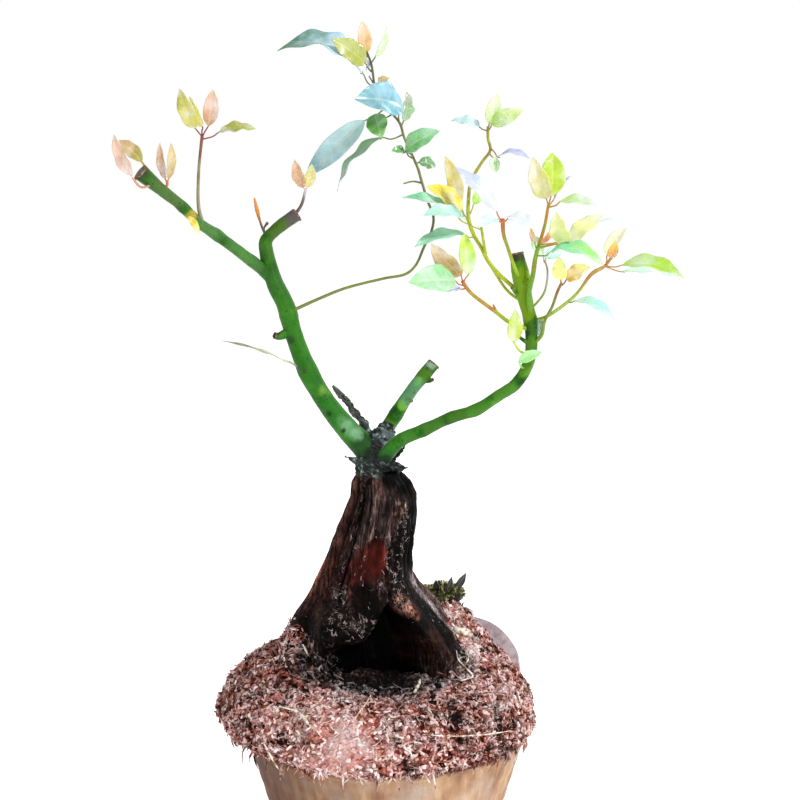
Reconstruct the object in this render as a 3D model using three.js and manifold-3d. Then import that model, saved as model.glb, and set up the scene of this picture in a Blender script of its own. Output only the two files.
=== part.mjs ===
// Camphor tree bonsai: a hollow old stump with three green limbs and their young
// leafy shoots, set in a mound of coir soil that heaps over a plain round clay pot.
// Millimetres. The origin is the middle of the pot's flat underside, +Z is up,
// +X is to the right of the front view and +Y goes away from it.

import * as THREE from "three";
import { mergeVertices } from "three/addons/utils/BufferGeometryUtils.js";
import Module from "manifold-3d";

const wasm = await Module();
wasm.setup();

// Driving sizes of the whole object
const potHeight = 128;
const potRimRadius = 122;
const potBaseRadius = 84;
const potWall = 7;
const potFloor = 9;
const roundSides = 48;
const moundCentreX = -11;
const moundEdgeRadius = 138;
const trunkSides = 42;
const clearance = 0.35;
const bladeThickness = 0.8;

const group = new THREE.Group();

// Closed solids

function solidFrom(points, faces) {
  const vertProperties = new Float32Array(points.length * 3);
  points.forEach((point, i) => vertProperties.set([point.x, point.y, point.z], i * 3));
  const triVerts = new Uint32Array(faces);
  return new wasm.Manifold(new wasm.Mesh({ numProp: 3, vertProperties, triVerts }));
}

function solidOf(geometry) {
  const bare = geometry.clone();
  bare.deleteAttribute("normal");
  bare.deleteAttribute("uv");
  const merged = mergeVertices(bare, 1e-3);
  const position = merged.getAttribute("position");
  const points = Array.from({ length: position.count }, (_, i) =>
    new THREE.Vector3().fromBufferAttribute(position, i));
  return solidFrom(points, Array.from(merged.index.array));
}

// Rings of points, joined one to the next and closed at both ends by a fan.
function loft(rings) {
  const count = rings[0].length;
  const points = rings.flat();
  const faces = [];
  for (let start = 0; start < points.length - count; start += count) {
    for (let i = 0; i < count; i += 1) {
      const a = start + i;
      const b = start + (i + 1) % count;
      faces.push(a, b, b + count, a, b + count, a + count);
    }
  }
  const closeEnd = (ring, start, isTop) => {
    const middle = points.length;
    const centre = new THREE.Vector3();
    ring.forEach((point) => centre.addScaledVector(point, 1 / count));
    points.push(centre);
    for (let i = 0; i < count; i += 1) {
      const a = start + i;
      const b = start + (i + 1) % count;
      faces.push(middle, isTop ? a : b, isTop ? b : a);
    }
  };
  closeEnd(rings[0], 0, false);
  closeEnd(rings.at(-1), (rings.length - 1) * count, true);
  return solidFrom(points, faces);
}

// A round rod along a smooth path. Its radius runs evenly through the given radii.
function rod(path, radii, sides, step, swell = 0) {
  const curve = new THREE.CatmullRomCurve3(path.map((p) => new THREE.Vector3(...p)), false, "centripetal");
  const steps = Math.max(2, Math.round(curve.getLength() / step));
  const frames = curve.computeFrenetFrames(steps, false);
  const rings = Array.from({ length: steps + 1 }, (_, i) => {
    const u = i / steps;
    const place = u * (radii.length - 1);
    const k = Math.min(Math.floor(place), radii.length - 2);
    const radius = THREE.MathUtils.lerp(radii[k], radii[k + 1], place - k) + swell;
    const centre = curve.getPointAt(u);
    return Array.from({ length: sides }, (_, j) => {
      const turn = j / sides * 2 * Math.PI;
      return centre.clone()
        .addScaledVector(frames.normals[i], radius * Math.cos(turn))
        .addScaledVector(frames.binormals[i], radius * Math.sin(turn));
    });
  });
  return loft(rings);
}

function largestBody(solid) {
  return solid.decompose().sort((a, b) => b.volume() - a.volume())[0];
}

function addNode(name, solid, color, roughness) {
  const mesh = largestBody(solid.simplify(0.06)).getMesh();
  const geometry = new THREE.BufferGeometry();
  geometry.setAttribute("position", new THREE.BufferAttribute(mesh.vertProperties, 3));
  geometry.setIndex(new THREE.BufferAttribute(mesh.triVerts, 1));
  geometry.computeVertexNormals();
  const material = new THREE.MeshStandardMaterial({ color, roughness, metalness: 0 });
  const node = new THREE.Mesh(geometry, material);
  node.name = name;
  group.add(node);
}

// Soft bump of height 1: full at the middle, nearly gone at two widths away.
const bump = (distance, width) => Math.exp(-((distance / width) ** 2));
const smoothstep = THREE.MathUtils.smoothstep;

// Value at a place between hand-set rows of [place, value, value, ...].
function between(rows, place, column) {
  const found = rows.findIndex((row) => row[0] >= place);
  const next = found < 0 ? rows.length - 1 : Math.max(found, 1);
  const [low, high] = [rows[next - 1], rows[next]];
  const share = THREE.MathUtils.clamp((place - low[0]) / (high[0] - low[0]), 0, 1);
  return THREE.MathUtils.lerp(low[column], high[column], share);
}

// Stump: a section every few millimetres, given as how far it reaches to the left,
// right, front and back. It leans and narrows upwards, and has a buried foot.
const trunkReach = [
  [74, -58, 50, -46, 52],
  [150, -84, 76, -62, 66],
  [176, -91, 79, -66, 68],
  [203, -86, 67, -64, 66],
  [218, -80, 60, -60, 62],
  [231, -75, 50, -56, 57],
  [243, -68, 40, -51, 52],
  [254, -61, 29, -46, 47],
  [266, -56, 22, -42, 43],
  [288, -47, 22, -36, 37],
  [309, -40, 25, -31, 32],
  [323, -34, 25, -28, 29],
  [337, -28, 24, -26, 26],
  [349, -27, 19, -22, 22],
  [356, -22, 12, -15, 16],
];
const trunkLevels = [
  74, 120, 160, 172, 182, 191, 199, 206, 212, 218, 223, 228, 233, 239, 245, 251,
  257, 264, 271, 279, 287, 296, 305, 314, 323, 332, 340, 347, 352, 356,
];
// Flutes round the stump: how many, their turn, and their depth at the top and foot.
const flutes = [
  { count: 5, phase: 0.6, twist: 0.012, top: 1.2, foot: 5.7 },
  { count: 9, phase: 0, twist: -0.02, top: 0.8, foot: 2.8 },
  { count: 17, phase: 0, twist: 0.05, top: 0.9, foot: 0.9 },
];
const fluteFoot = 190;
const fluteTop = 300;
// Relief of the stump: middle direction in degrees at the ground, its turn for each
// millimetre up, half its width in degrees, the heights it lies between and fades
// out past, and how far it stands out.
const trunkGround = 170;
const trunkRelief = [
  { what: "bark strap", direction: -152, twist: -0.067, spread: 13, from: 170, to: 356, fade: 9, out: 4.5 },
  { what: "worn trough", direction: -112, twist: 0.122, spread: 16, from: 275, to: 336, fade: 28, out: -5 },
  { what: "dark hood", direction: -52, twist: 0, spread: 20, from: 330, to: 356, fade: 45, out: 4 },
  { what: "oval scar", direction: -83, twist: 0, spread: 17, from: 274, to: 288, fade: 20, out: -7 },
  { what: "bulge", direction: -122, twist: 0, spread: 22, from: 229, to: 236, fade: 18, out: 12 },
  { what: "ragged chunk", direction: -58, twist: 0, spread: 9, from: 256, to: 260, fade: 12, out: 6 },
];
// Hollow at the stump's foot: direction in degrees, height of its roof.
const hollowRoof = [
  [-136, 208],
  [-118, 219],
  [-98, 223],
  [-82, 238],
  [-64, 254],
  [-50, 236],
  [-38, 204],
];
const hollowMiddle = -85;
const hollowBackRadius = 17;
const hollowFlare = 0.12;
const hollowEdge = 8;

function hollowShare(direction, z) {
  const [first, last] = [hollowRoof[0][0], hollowRoof.at(-1)[0]];
  if (direction <= first || direction >= last) {
    return 0;
  }
  const left = smoothstep(direction, first, first + hollowEdge);
  const sides = left * smoothstep(-direction, -last, hollowEdge - last);
  const under = smoothstep(between(hollowRoof, direction, 1) - z, -2, 7);
  return sides * under * smoothstep(z, trunkGround - 8, trunkGround + 6);
}

function trunkRadius(direction, z) {
  const turn = THREE.MathUtils.degToRad(direction);
  const cos = Math.cos(turn);
  const sin = Math.sin(turn);
  const halfWidth = (between(trunkReach, z, 2) - between(trunkReach, z, 1)) / 2;
  const halfDepth = sin < 0 ? -between(trunkReach, z, 3) : between(trunkReach, z, 4);
  let radius = 1 / Math.hypot(cos / halfWidth, sin / halfDepth);
  const low = 1 - smoothstep(z, fluteFoot, fluteTop);
  flutes.forEach(({ count, phase, twist, top, foot }) => {
    radius += THREE.MathUtils.lerp(top, foot, low) * Math.cos(turn * count + z * twist + phase);
  });
  trunkRelief.forEach((form) => {
    const middle = form.direction + form.twist * (z - trunkGround);
    const above = smoothstep(z, form.from - form.fade, form.from);
    const tall = above * smoothstep(-z, -form.to - form.fade, -form.to);
    radius += form.out * tall * bump(direction - middle, form.spread);
  });
  const backRadius = hollowBackRadius + hollowFlare * Math.abs(direction - hollowMiddle);
  return THREE.MathUtils.lerp(radius, backRadius, hollowShare(direction, z));
}

function trunkBody(swell) {
  return loft(trunkLevels.map((z, level) => {
    const middle = (between(trunkReach, z, 1) + between(trunkReach, z, 2)) / 2;
    const ends = level === 0 ? -swell : level === trunkLevels.length - 1 ? swell : 0;
    return Array.from({ length: trunkSides }, (_, i) => {
      const direction = i / trunkSides * 360 - 180;
      const radius = trunkRadius(direction, z) + swell;
      const turn = THREE.MathUtils.degToRad(direction);
      return new THREE.Vector3(middle + radius * Math.cos(turn), radius * Math.sin(turn), z + ends);
    });
  }));
}

// Gnarled neck on top of the stump, with its thorns and a dead stub.
const neckPath = [[-6, 1, 338], [-8, 1, 356], [-9, 1, 368], [-7, 2, 379], [-2, 4, 389], [3, 6, 399]];
const neckRadii = [17, 19, 15.5, 13.5, 10, 6];
const thorns = [
  { path: [[-14, -4, 366], [-26, -7, 368], [-34, -9, 372]], radii: [7, 3.5, 0.5] },
  { path: [[-2, -4, 362], [11, -8, 362], [20, -11, 363]], radii: [8, 5, 0.5] },
  { path: [[-14, 2, 356], [-22, -6, 356], [-26, -9, 364]], radii: [7, 5, 1.5] },
  { path: [[4, 2, 366], [14, 4, 376], [17, 5, 382]], radii: [5, 3, 1] },
  { path: [[-6, 6, 368], [-6, 16, 374], [-5, 20, 381]], radii: [7, 4, 1] },
];
const deadStub = {
  path: [[-8, 8, 376], [-18, 15, 392], [-26, 18, 404], [-32, 19, 412], [-40, 20, 421], [-46, 21, 428]],
  radii: [5, 4, 3.2, 3.6, 2.8, 1.6],
};

function trunk(swell) {
  let solid = trunkBody(swell).add(rod(neckPath, neckRadii, 14, 6, swell));
  [...thorns, deadStub].forEach(({ path, radii }) => {
    solid = solid.add(rod(path, radii, 7, 7, swell));
  });
  return solid;
}

// Green limbs. Each starts inside the neck, which trims it.
const limbs = {
  limb_left: [
    { path: [[-12, 1, 371], [-18, 0, 378], [-32, 0, 393], [-49, 2, 414], [-66, 6, 442], [-79, 10, 476],
      [-85, 12, 498], [-95, 15, 519], [-101, 20, 541], [-102, 24, 552], [-94, 28, 561], [-76, 33, 574]],
      radii: [11.5, 9.8, 8.6, 8.1, 7.8, 7.2, 7.6, 6.6, 5.2, 5.8], sides: 11 },
    { path: [[-95, 15, 518], [-104, 14, 528], [-122, 4, 544], [-141, -6, 560], [-154, -14, 570],
      [-167, -20, 584], [-185, -28, 600], [-200, -34, 614]],
      radii: [5.2, 4.8, 4.7, 4.6, 4.5, 4.3, 5, 7], sides: 9 },
    { path: [[-82, 10, 476], [-91, 4, 473], [-94, 2, 474]], radii: [4.2, 3.8, 2.8], sides: 7 },
  ],
  limb_middle: [
    { path: [[-6, 8, 376], [-1, 13, 388], [9, 18, 404], [21, 22, 422], [41, 28, 446]],
      radii: [6.4, 6.2, 5.6, 5.2, 5.6], sides: 9 },
    { path: [[15, 19, 411], [19, 16, 415], [22, 14, 416]], radii: [3, 2.4, 1.6], sides: 6 },
    { path: [[31, 25, 434], [37, 23, 432], [40, 21, 433]], radii: [3, 2.4, 1.6], sides: 6 },
  ],
  limb_right: [
    { path: [[-6, -3, 366], [-1, -8, 372], [12, -11, 386], [33, -14, 396], [55, -17, 407], [76, -19, 414],
      [96, -20, 427], [108, -20, 435], [116, -20, 446], [121, -19, 459], [122, -18, 471], [121, -16, 489],
      [117, -14, 505], [113, -12, 526], [109, -10, 545]],
      radii: [7.2, 6, 5.2, 4.8, 4.8, 4.8, 4.9, 4.8, 5.2, 5.8, 7.4, 5.8], sides: 10 },
    { path: [[117, -13, 508], [109, -16, 512], [105, -18, 517]], radii: [2.6, 1.8, 1], sides: 6 },
    { path: [[121, -18, 470], [113, -22, 475], [110, -24, 479]], radii: [2.4, 1.6, 1], sides: 6 },
  ],
};
const limbGreen = { limb_left: "#4f9a3c", limb_middle: "#5da045", limb_right: "#58a63a" };
const limbStep = 13;

function limb(name, swell) {
  return limbs[name]
    .map(({ path, radii, sides }) => rod(path, radii, sides, limbStep, swell))
    .reduce((whole, piece) => whole.add(piece));
}

// Leaves. A blade is one thin sheet with a fold along its middle, from base to tip,
// its upper side turned to face. Its stalk, where it has one, runs from at to the base.
// Every ring of it has three points underneath and the same three above.
const bladeStations = [0.14, 0.38, 0.64, 0.88, 1];
const stalkStations = [0, 0.5, 1];
const stalkThickness = 1.5;
const shortestStalk = 5;
const leastHalfWidth = 0.6;
const foldSlope = 0.32;

const bladeOutline = (u) => (u ** 0.62 * (1 - u) ** 0.85) / 0.365;

function leafSolid(leaf) {
  const base = new THREE.Vector3(...leaf.base);
  const along = new THREE.Vector3(...leaf.tip).sub(base);
  const length = along.length();
  along.normalize();
  const face = new THREE.Vector3(...leaf.face);
  face.addScaledVector(along, -face.dot(along)).normalize();
  const side = new THREE.Vector3().crossVectors(face, along);
  const arch = leaf.arch ?? 0.08 * length;

  const bladePoint = (u, across, layer) => {
    const half = Math.max(leastHalfWidth, leaf.width / 2 * bladeOutline(u));
    const wave = 0.05 * leaf.width * Math.sin(9 * u + across) * Math.abs(across);
    const rise = 4 * arch * u * (1 - u) + half * Math.abs(across) * foldSlope + wave;
    return base.clone()
      .addScaledVector(along, u * length)
      .addScaledVector(side, across * half)
      .addScaledVector(face, rise + layer * bladeThickness / 2);
  };

  const hasStalk = leaf.at && base.distanceTo(new THREE.Vector3(...leaf.at)) > shortestStalk;
  const at = hasStalk ? new THREE.Vector3(...leaf.at) : base.clone().addScaledVector(along, -3);
  const way = base.clone().sub(at).normalize();
  const stalkFace = new THREE.Vector3().crossVectors(way, side).normalize();
  const stalkSide = new THREE.Vector3().crossVectors(stalkFace, way);
  const stalkPoint = (u, across, layer) => at.clone().lerp(base, u)
    .addScaledVector(stalkSide, across * stalkThickness / 2)
    .addScaledVector(stalkFace, layer * stalkThickness / 2);

  const ring = (point, u) => [
    point(u, -1, -1), point(u, 0, -1), point(u, 1, -1), point(u, 1, 1), point(u, 0, 1), point(u, -1, 1),
  ];
  const stalk = hasStalk ? stalkStations : [0];
  return sheetSolid([
    ...stalk.map((u) => ring(stalkPoint, u)),
    ...bladeStations.map((u) => ring(bladePoint, u)),
  ]);
}

// Closes a row of such six-point rings, with the same triangles above as underneath.
function sheetSolid(rings) {
  const points = rings.flat();
  const faces = [];
  for (let start = 0; start < points.length - 6; start += 6) {
    const quad = (i, j, turned) => {
      const [a, b, c, d] = [start + i, start + j, start + j + 6, start + i + 6];
      faces.push(...(turned ? [a, b, d, b, c, d] : [a, b, c, a, c, d]));
    };
    quad(0, 1, false);
    quad(1, 2, true);
    quad(2, 3, false);
    quad(3, 4, false);
    quad(4, 5, true);
    quad(5, 0, false);
  }
  const end = points.length - 6;
  faces.push(0, 5, 4, 0, 4, 1, 1, 4, 3, 1, 3, 2);
  faces.push(end, end + 4, end + 5, end, end + 1, end + 4);
  faces.push(end + 1, end + 3, end + 4, end + 1, end + 2, end + 3);
  return solidFrom(points, faces);
}

// Leafy shoots. stems: path and the radii along it. leaves: as above.
const front = [0, -1, 0.2];
const skyward = [0, -0.55, 0.83];
const shoots = {
  shoot_tip_pink: {
    color: "#dba07e",
    limb: "limb_left",
    stems: [{ path: [[-188, -30, 605], [-199, -40, 602], [-206, -40, 610]], radii: [1.3, 1, 0.9] }],
    leaves: [
      { base: [-206, -40, 611], tip: [-220, -46, 645], width: 12, face: [-0.4, -0.9, 0] },
    ],
  },
  shoot_tip_yellow: {
    color: "#c9b04a",
    limb: "limb_left",
    stems: [{ path: [[-194, -28, 608], [-197, -24, 617], [-200, -24, 622]], radii: [1.2, 1, 0.9] }],
    leaves: [
      { base: [-200, -24, 622], tip: [-219, -16, 639], width: 12, face: [0.3, -0.9, 0.3] },
    ],
  },
  shoot_tip_copper: {
    color: "#d59a63",
    limb: "limb_left",
    stems: [{ path: [[-182, -27, 598], [-179, -28, 603], [-179, -28, 607]], radii: [1.3, 1.2, 1] }],
    leaves: [
      { at: [-179, -28, 604], base: [-180, -30, 608], tip: [-183, -37, 638], width: 8,
        face: [-0.4, -0.9, 0] },
      { at: [-179, -28, 604], base: [-178, -26, 608], tip: [-176, -20, 637], width: 8, face: [0.5, -0.8, 0] },
    ],
  },
  bud_left: {
    color: "#cfae3a",
    limb: "limb_left",
    stems: [{ path: [[-161, -18, 578], [-162, -25, 575], [-161, -28, 577]], radii: [1.3, 1.2, 0.9] }],
    leaves: [
      { base: [-161, -28, 577], tip: [-153, -33, 563], width: 6, face: [0.3, -0.9, 0.3] },
    ],
  },
  shoot_upright: {
    color: "#b8ad5e",
    limb: "limb_left",
    stems: [{
      path: [[-152, -15, 571], [-155, -13, 584], [-155, -8, 612], [-153, -4, 634], [-152, -3, 642]],
      radii: [1.9, 1.4, 1.3, 1.2, 1.4],
    }],
    leaves: [
      { at: [-152, -3, 641], base: [-157, -7, 648], tip: [-169, -14, 681], width: 14,
        face: [-0.3, -0.9, 0.2] },
      { at: [-152, -3, 641], base: [-152, 3, 649], tip: [-163, 9, 674], width: 10, face: [-0.6, -0.8, 0.2] },
      { at: [-152, -3, 641], base: [-147, 0, 650], tip: [-143, 2, 680], width: 13, face: [0.2, -0.95, 0] },
      { at: [-153, -4, 639], base: [-138, 2, 645], tip: [-108, 8, 647], width: 13, face: skyward },
    ],
  },
  twig_dead: {
    color: "#a5683c",
    limb: "limb_left",
    stems: [
      { path: [[-98, 24, 551], [-104, 28, 560], [-108, 30, 571], [-112, 32, 588]],
        radii: [1.4, 1.1, 1, 1.9, 0.7] },
      { path: [[-104, 28, 560], [-103, 22, 564], [-100, 20, 568]], radii: [1, 0.8, 1.3] },
    ],
    leaves: [],
  },
  shoot_stub: {
    color: "#e0a67c",
    limb: "limb_left",
    stems: [{ path: [[-79, 32, 572], [-72, 33, 582], [-68, 32, 596]], radii: [1.6, 1.3, 1.2] }],
    leaves: [
      { at: [-68, 32, 594], base: [-70, 30, 597], tip: [-77, 24, 621], width: 11, face: [-0.3, -0.95, 0] },
      { at: [-68, 32, 594], base: [-67, 34, 597], tip: [-63, 32, 617], width: 10, face: [0.4, -0.9, 0] },
    ],
  },
  leaf_dead: {
    color: "#5d6b3a",
    limb: "limb_left",
    stems: [{ path: [[-61, 5, 440], [-70, -4, 445], [-79, -9, 452], [-86, -12, 455]], radii: [1.2, 1, 0.9] }],
    leaves: [
      { base: [-86, -12, 455], tip: [-137, -22, 473], width: 8, face: [0.35, -0.25, 0.9], arch: 2 },
    ],
  },
  shoot_long: {
    color: "#4f9d70",
    limb: "limb_left",
    stems: [
      {
        path: [[-80, 9, 494], [-55, 2, 506], [-34, -4, 515], [-1, -10, 524], [17, -12, 528], [25, -12, 535],
          [32, -8, 550], [38, -4, 562], [40, 0, 574], [35, 6, 588], [30, 12, 604], [27, 16, 614],
          [18, 22, 634], [15, 24, 641], [12, 26, 651], [4, 28, 661], [-8, 30, 678], [-12, 30, 700],
          [-16, 30, 711]],
        radii: [1.8, 1.5, 1.4, 1.4, 1.3, 1.1],
      },
      { path: [[30, 12, 602], [23, 16, 603], [15, 19, 601]], radii: [0.9, 0.7, 0.6] },
    ],
    leaves: [
      { at: [-8, 30, 679], base: [-19, 33, 692], tip: [-91, 30, 711], width: 30,
        face: [0.1, -0.5, 0.86], arch: 19 },
      { at: [-12, 30, 694], base: [-17, 27, 701], tip: [-45, 14, 721], width: 19,
        face: [-0.3, -0.8, 0.5], arch: 3 },
      { at: [-15, 30, 706], base: [-17, 30, 709], tip: [-20, 31, 736], width: 12, face: [0.3, -1, 0] },
      { at: [-13, 30, 700], base: [-9, 34, 706], tip: [1, 42, 731], width: 8, face: [0.8, -0.5, 0.2] },
      { at: [-10, 30, 684], base: [-14, 38, 690], tip: [-21, 50, 708], width: 9, face: [0.7, -0.7, 0.2] },
      { at: [-9, 30, 680], base: [-6, 26, 683], tip: [3, 18, 689], width: 9, face: [0.1, -0.9, 0.5] },
      { at: [11, 27, 653], base: [14, 16, 665], tip: [-25, -14, 673], width: 27,
        face: [0, -0.75, 0.65], arch: 6 },
      { at: [6, 28, 659], base: [-9, 14, 659], tip: [-3, 4, 640], width: 18, face: [0, -1, -0.3], arch: 2 },
      { at: [13, 26, 648], base: [15, 29, 653], tip: [18, 36, 677], width: 13, face: [0.75, -0.65, 0.1] },
      { at: [1, 29, 665], base: [-18, 36, 653], tip: [-69, 54, 605], width: 27,
        face: [0.2, -0.9, 0.4], arch: 4 },
      { at: [15, 24, 642], base: [-3, 32, 639], tip: [-42, 50, 591], width: 17,
        face: [-0.72, -0.3, 0.62], arch: 7 },
      { at: [23, 19, 622], base: [22, 8, 629], tip: [45, -2, 643], width: 22,
        face: [-0.2, -0.85, 0.4], arch: 5 },
      { at: [23, 19, 622], base: [17, 14, 628], tip: [5, 8, 629], width: 9, face: [0, -0.7, 0.7] },
      { at: [25, 18, 618], base: [28, 22, 619], tip: [42, 28, 615], width: 11, face: [0.1, -0.8, 0.5] },
    ],
  },
  shoot_copper: {
    color: "#c2954e",
    limb: "limb_right",
    stems: [
      { path: [[120, -17, 482], [102, -28, 490], [91, -34, 499], [69, -44, 517], [63, -48, 526]],
        radii: [1.9, 1.7, 1.6, 1.5] },
      { path: [[92, -33, 498], [89, -32, 505]], radii: [1.4, 1.1, 0.7] },
    ],
    leaves: [
      { at: [64, -47, 525], base: [62, -50, 531], tip: [37, -58, 558], width: 17, face: [-0.4, -0.9, 0] },
      { at: [64, -47, 525], base: [68, -44, 531], tip: [64, -38, 564], width: 14, face: [0.2, -1, 0] },
      { at: [65, -46, 522], base: [57, -54, 527], tip: [19, -74, 528], width: 24, face: [0.1, -0.85, 0.5] },
      { at: [66, -46, 520], base: [62, -46, 519], tip: [48, -44, 517], width: 7, face: [0, -0.6, 0.8] },
    ],
  },
  shoot_yellow: {
    color: "#bfbd3e",
    limb: "limb_right",
    stems: [
      {
        path: [[116, -12, 509], [96, -6, 526], [87, 0, 536], [80, 6, 549], [74, 8, 559], [70, 10, 571],
          [70, 22, 588], [73, 34, 603], [82, 40, 618], [89, 42, 628], [87, 44, 638], [87, 44, 648]],
        radii: [1.9, 1.8, 1.7, 1.5, 1.3, 1.2],
      },
      { path: [[117, -13, 503], [103, -3, 512], [91, 3, 529], [80, 7, 549]], radii: [1.4, 1.2, 1.2] },
      { path: [[84, 3, 543], [82, 1, 554], [80, -2, 566]], radii: [1.4, 1.2, 1.1] },
    ],
    leaves: [
      { at: [70, 10, 570], base: [61, 12, 582], tip: [50, 16, 624], width: 14, face: [0.4, -0.9, 0] },
      { at: [70, 10, 570], base: [64, 2, 581], tip: [34, -12, 601], width: 17, face: [0.1, -0.8, 0.6] },
      { at: [71, 10, 567], base: [60, -3, 575], tip: [14, -22, 592], width: 18,
        face: [0, -0.4, 0.9], arch: 5 },
      { at: [80, -2, 564], base: [66, -18, 575], tip: [31, -40, 579], width: 19,
        face: [0.1, -0.5, 0.85], arch: 4 },
      { at: [75, 8, 557], base: [67, -6, 560], tip: [24, -28, 552], width: 17,
        face: [0, -0.4, 0.9], arch: 4 },
      { at: [71, 13, 576], base: [74, 14, 584], tip: [84, 18, 599], width: 9, face: [0.2, -0.8, 0.5] },
      { at: [87, 44, 644], base: [88, 45, 650], tip: [95, 48, 675], width: 13, face: [0.1, -1, 0] },
      { at: [87, 44, 644], base: [90, 42, 650], tip: [116, 30, 662], width: 14, face: [0.2, -0.9, 0.3] },
      { at: [87, 44, 644], base: [80, 50, 647], tip: [56, 60, 652], width: 14, face: [0, -0.45, 0.9] },
      { at: [89, 42, 630], base: [95, 38, 622], tip: [122, 22, 621], width: 11,
        face: [0.1, -0.4, 0.9], arch: 5 },
      { at: [88, 42, 626], base: [91, 40, 622], tip: [94, 38, 609], width: 9, face: [0.2, -1, 0] },
    ],
  },
  shoot_orange_top: {
    color: "#c8b25e",
    limb: "limb_right",
    stems: [
      { path: [[114, -12, 520], [106, -24, 537], [101, -30, 551], [97, -34, 563], [96, -36, 576]],
        radii: [1.8, 1.5, 1.4, 1.8] },
    ],
    leaves: [
      { at: [96, -36, 573], base: [91, -35, 582], tip: [57, -22, 617], width: 15, face: [0.4, -0.75, 0.5] },
      { at: [96, -36, 573], base: [101, -38, 578], tip: [122, -56, 569], width: 15, face: [0, -0.6, 0.8] },
      { at: [96, -36, 573], base: [92, -40, 576], tip: [74, -52, 570], width: 12, face: [0, -0.6, 0.8] },
    ],
  },
  shoot_round: {
    color: "#b4c63c",
    limb: "limb_right",
    stems: [
      { path: [[122, -16, 490], [119, -24, 512], [122, -27, 529], [124, -28, 544], [131, -30, 570],
        [134, -30, 588]], radii: [2.4, 2.1, 2, 1.4, 1.2] },
    ],
    leaves: [
      { at: [134, -30, 586], base: [132, -32, 592], tip: [120, -44, 627], width: 17, face: [-0.3, -0.9, 0] },
      { at: [134, -30, 586], base: [136, -28, 594], tip: [137, -22, 629], width: 21, face: [0.1, -1, 0.1] },
      { at: [134, -30, 586], base: [139, -26, 592], tip: [155, -10, 610], width: 6, face: [-0.6, -0.4, 0.6] },
      { at: [134, -30, 585], base: [143, -36, 590], tip: [173, -52, 587], width: 14, face: [0, -0.5, 0.86] },
      { at: [125, -28, 548], base: [128, -33, 556], tip: [137, -40, 569], width: 6, face: [0.5, -0.8, 0] },
      { at: [125, -28, 548], base: [123, -32, 556], tip: [119, -38, 569], width: 5, face: [-0.3, -0.9, 0] },
      { at: [126, -28, 551], base: [147, -44, 556], tip: [138, -60, 584], width: 17,
        face: [-0.4, -0.8, 0.3] },
      { at: [126, -28, 551], base: [150, -40, 558], tip: [178, -48, 580], width: 15,
        face: [-0.3, -0.8, 0.5] },
      { at: [127, -29, 554], base: [150, -22, 557], tip: [191, 0, 573], width: 10, face: [-0.2, -0.4, 0.9] },
      { at: [124, -28, 545], base: [135, -46, 550], tip: [176, -70, 541], width: 17,
        face: [0, -0.5, 0.86], arch: 9 },
    ],
  },
  shoot_reaching: {
    color: "#c0b040",
    limb: "limb_right",
    stems: [
      { path: [[121, -17, 489], [134, -8, 491], [152, 4, 501], [162, 10, 509], [175, 16, 525], [186, 20, 531],
        [193, 22, 539]], radii: [1.7, 1.5, 1.4, 1.2, 1.8, 0.8] },
    ],
    leaves: [
      { at: [186, 20, 531], base: [201, 19, 532], tip: [251, 2, 523], width: 20,
        face: [0, -0.5, 0.86], arch: 7 },
      { at: [186, 20, 531], base: [202, 30, 525], tip: [255, 46, 516], width: 11, face: [0, -0.4, 0.9] },
      { at: [187, 20, 532], base: [188, 24, 539], tip: [206, 34, 563], width: 14, face: [-0.6, -0.7, 0.3] },
      { at: [187, 20, 532], base: [190, 14, 539], tip: [194, 8, 553], width: 9, face: [0.1, -1, 0.2] },
      { at: [154, 5, 502], base: [159, -1, 504], tip: [190, -26, 491], width: 15,
        face: [0.1, -0.4, 0.9], arch: 5 },
    ],
  },
  shoot_lower: {
    color: "#c9c043",
    limb: "limb_right",
    stems: [
      { path: [[122, -17, 468], [130, -24, 478], [132, -28, 490], [138, -31, 503], [142, -34, 516],
        [145, -36, 523]], radii: [1.6, 1.4, 1.2, 1.2] },
    ],
    leaves: [
      { at: [145, -36, 521], base: [144, -39, 526], tip: [142, -48, 546], width: 12, face: [-0.2, -0.95, 0] },
      { at: [145, -36, 521], base: [149, -36, 526], tip: [168, -42, 537], width: 14, face: [0, -0.8, 0.6] },
    ],
  },
  shoot_thin: {
    color: "#9fae62",
    limb: "limb_right",
    stems: [
      { path: [[120, -15, 497], [134, 4, 511], [137, 14, 528], [135, 20, 536]], radii: [1.1, 0.9, 0.8] },
    ],
    leaves: [
      { at: [135, 20, 534], base: [136, 22, 538], tip: [150, 34, 541], width: 12, face: [0.2, -0.7, 0.7] },
      { at: [135, 20, 534], base: [134, 24, 540], tip: [126, 36, 556], width: 10, face: [-0.4, -0.8, 0.4] },
    ],
  },
  leaf_hanging: {
    color: "#b9b848",
    limb: "limb_right",
    stems: [{ path: [[119, -20, 461], [111, -29, 466], [106, -33, 474]], radii: [1.2, 1, 0.9] }],
    leaves: [
      { base: [106, -33, 474], tip: [107, -40, 502], width: 13, face: [0.1, -1, 0] },
    ],
  },
  leaf_wrapping: {
    color: "#a9d68a",
    limb: "limb_right",
    stems: [{ path: [[119, -20, 449], [113, -26, 452], [111, -30, 457]], radii: [1.3, 1.1, 0.9] }],
    leaves: [
      { base: [111, -30, 457], tip: [130, -31, 465], width: 10, face: [0, -0.8, 0.6], arch: 1 },
    ],
  },
  leaf_small: {
    color: "#b8c8b0",
    limb: "limb_right",
    stems: [{ path: [[123, -17, 474], [130, -10, 475]], radii: [1.2, 0.9] }],
    leaves: [
      { base: [130, -10, 475], tip: [131, -5, 490], width: 8, face: [-0.5, -0.8, 0] },
    ],
  },
};

function shoot({ stems, leaves }) {
  const stemSolids = stems.map(({ path, radii }) => rod(path, radii, 5, 13));
  return [...stemSolids, ...leaves.map(leafSolid)].reduce((whole, piece) => whole.add(piece));
}

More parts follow.
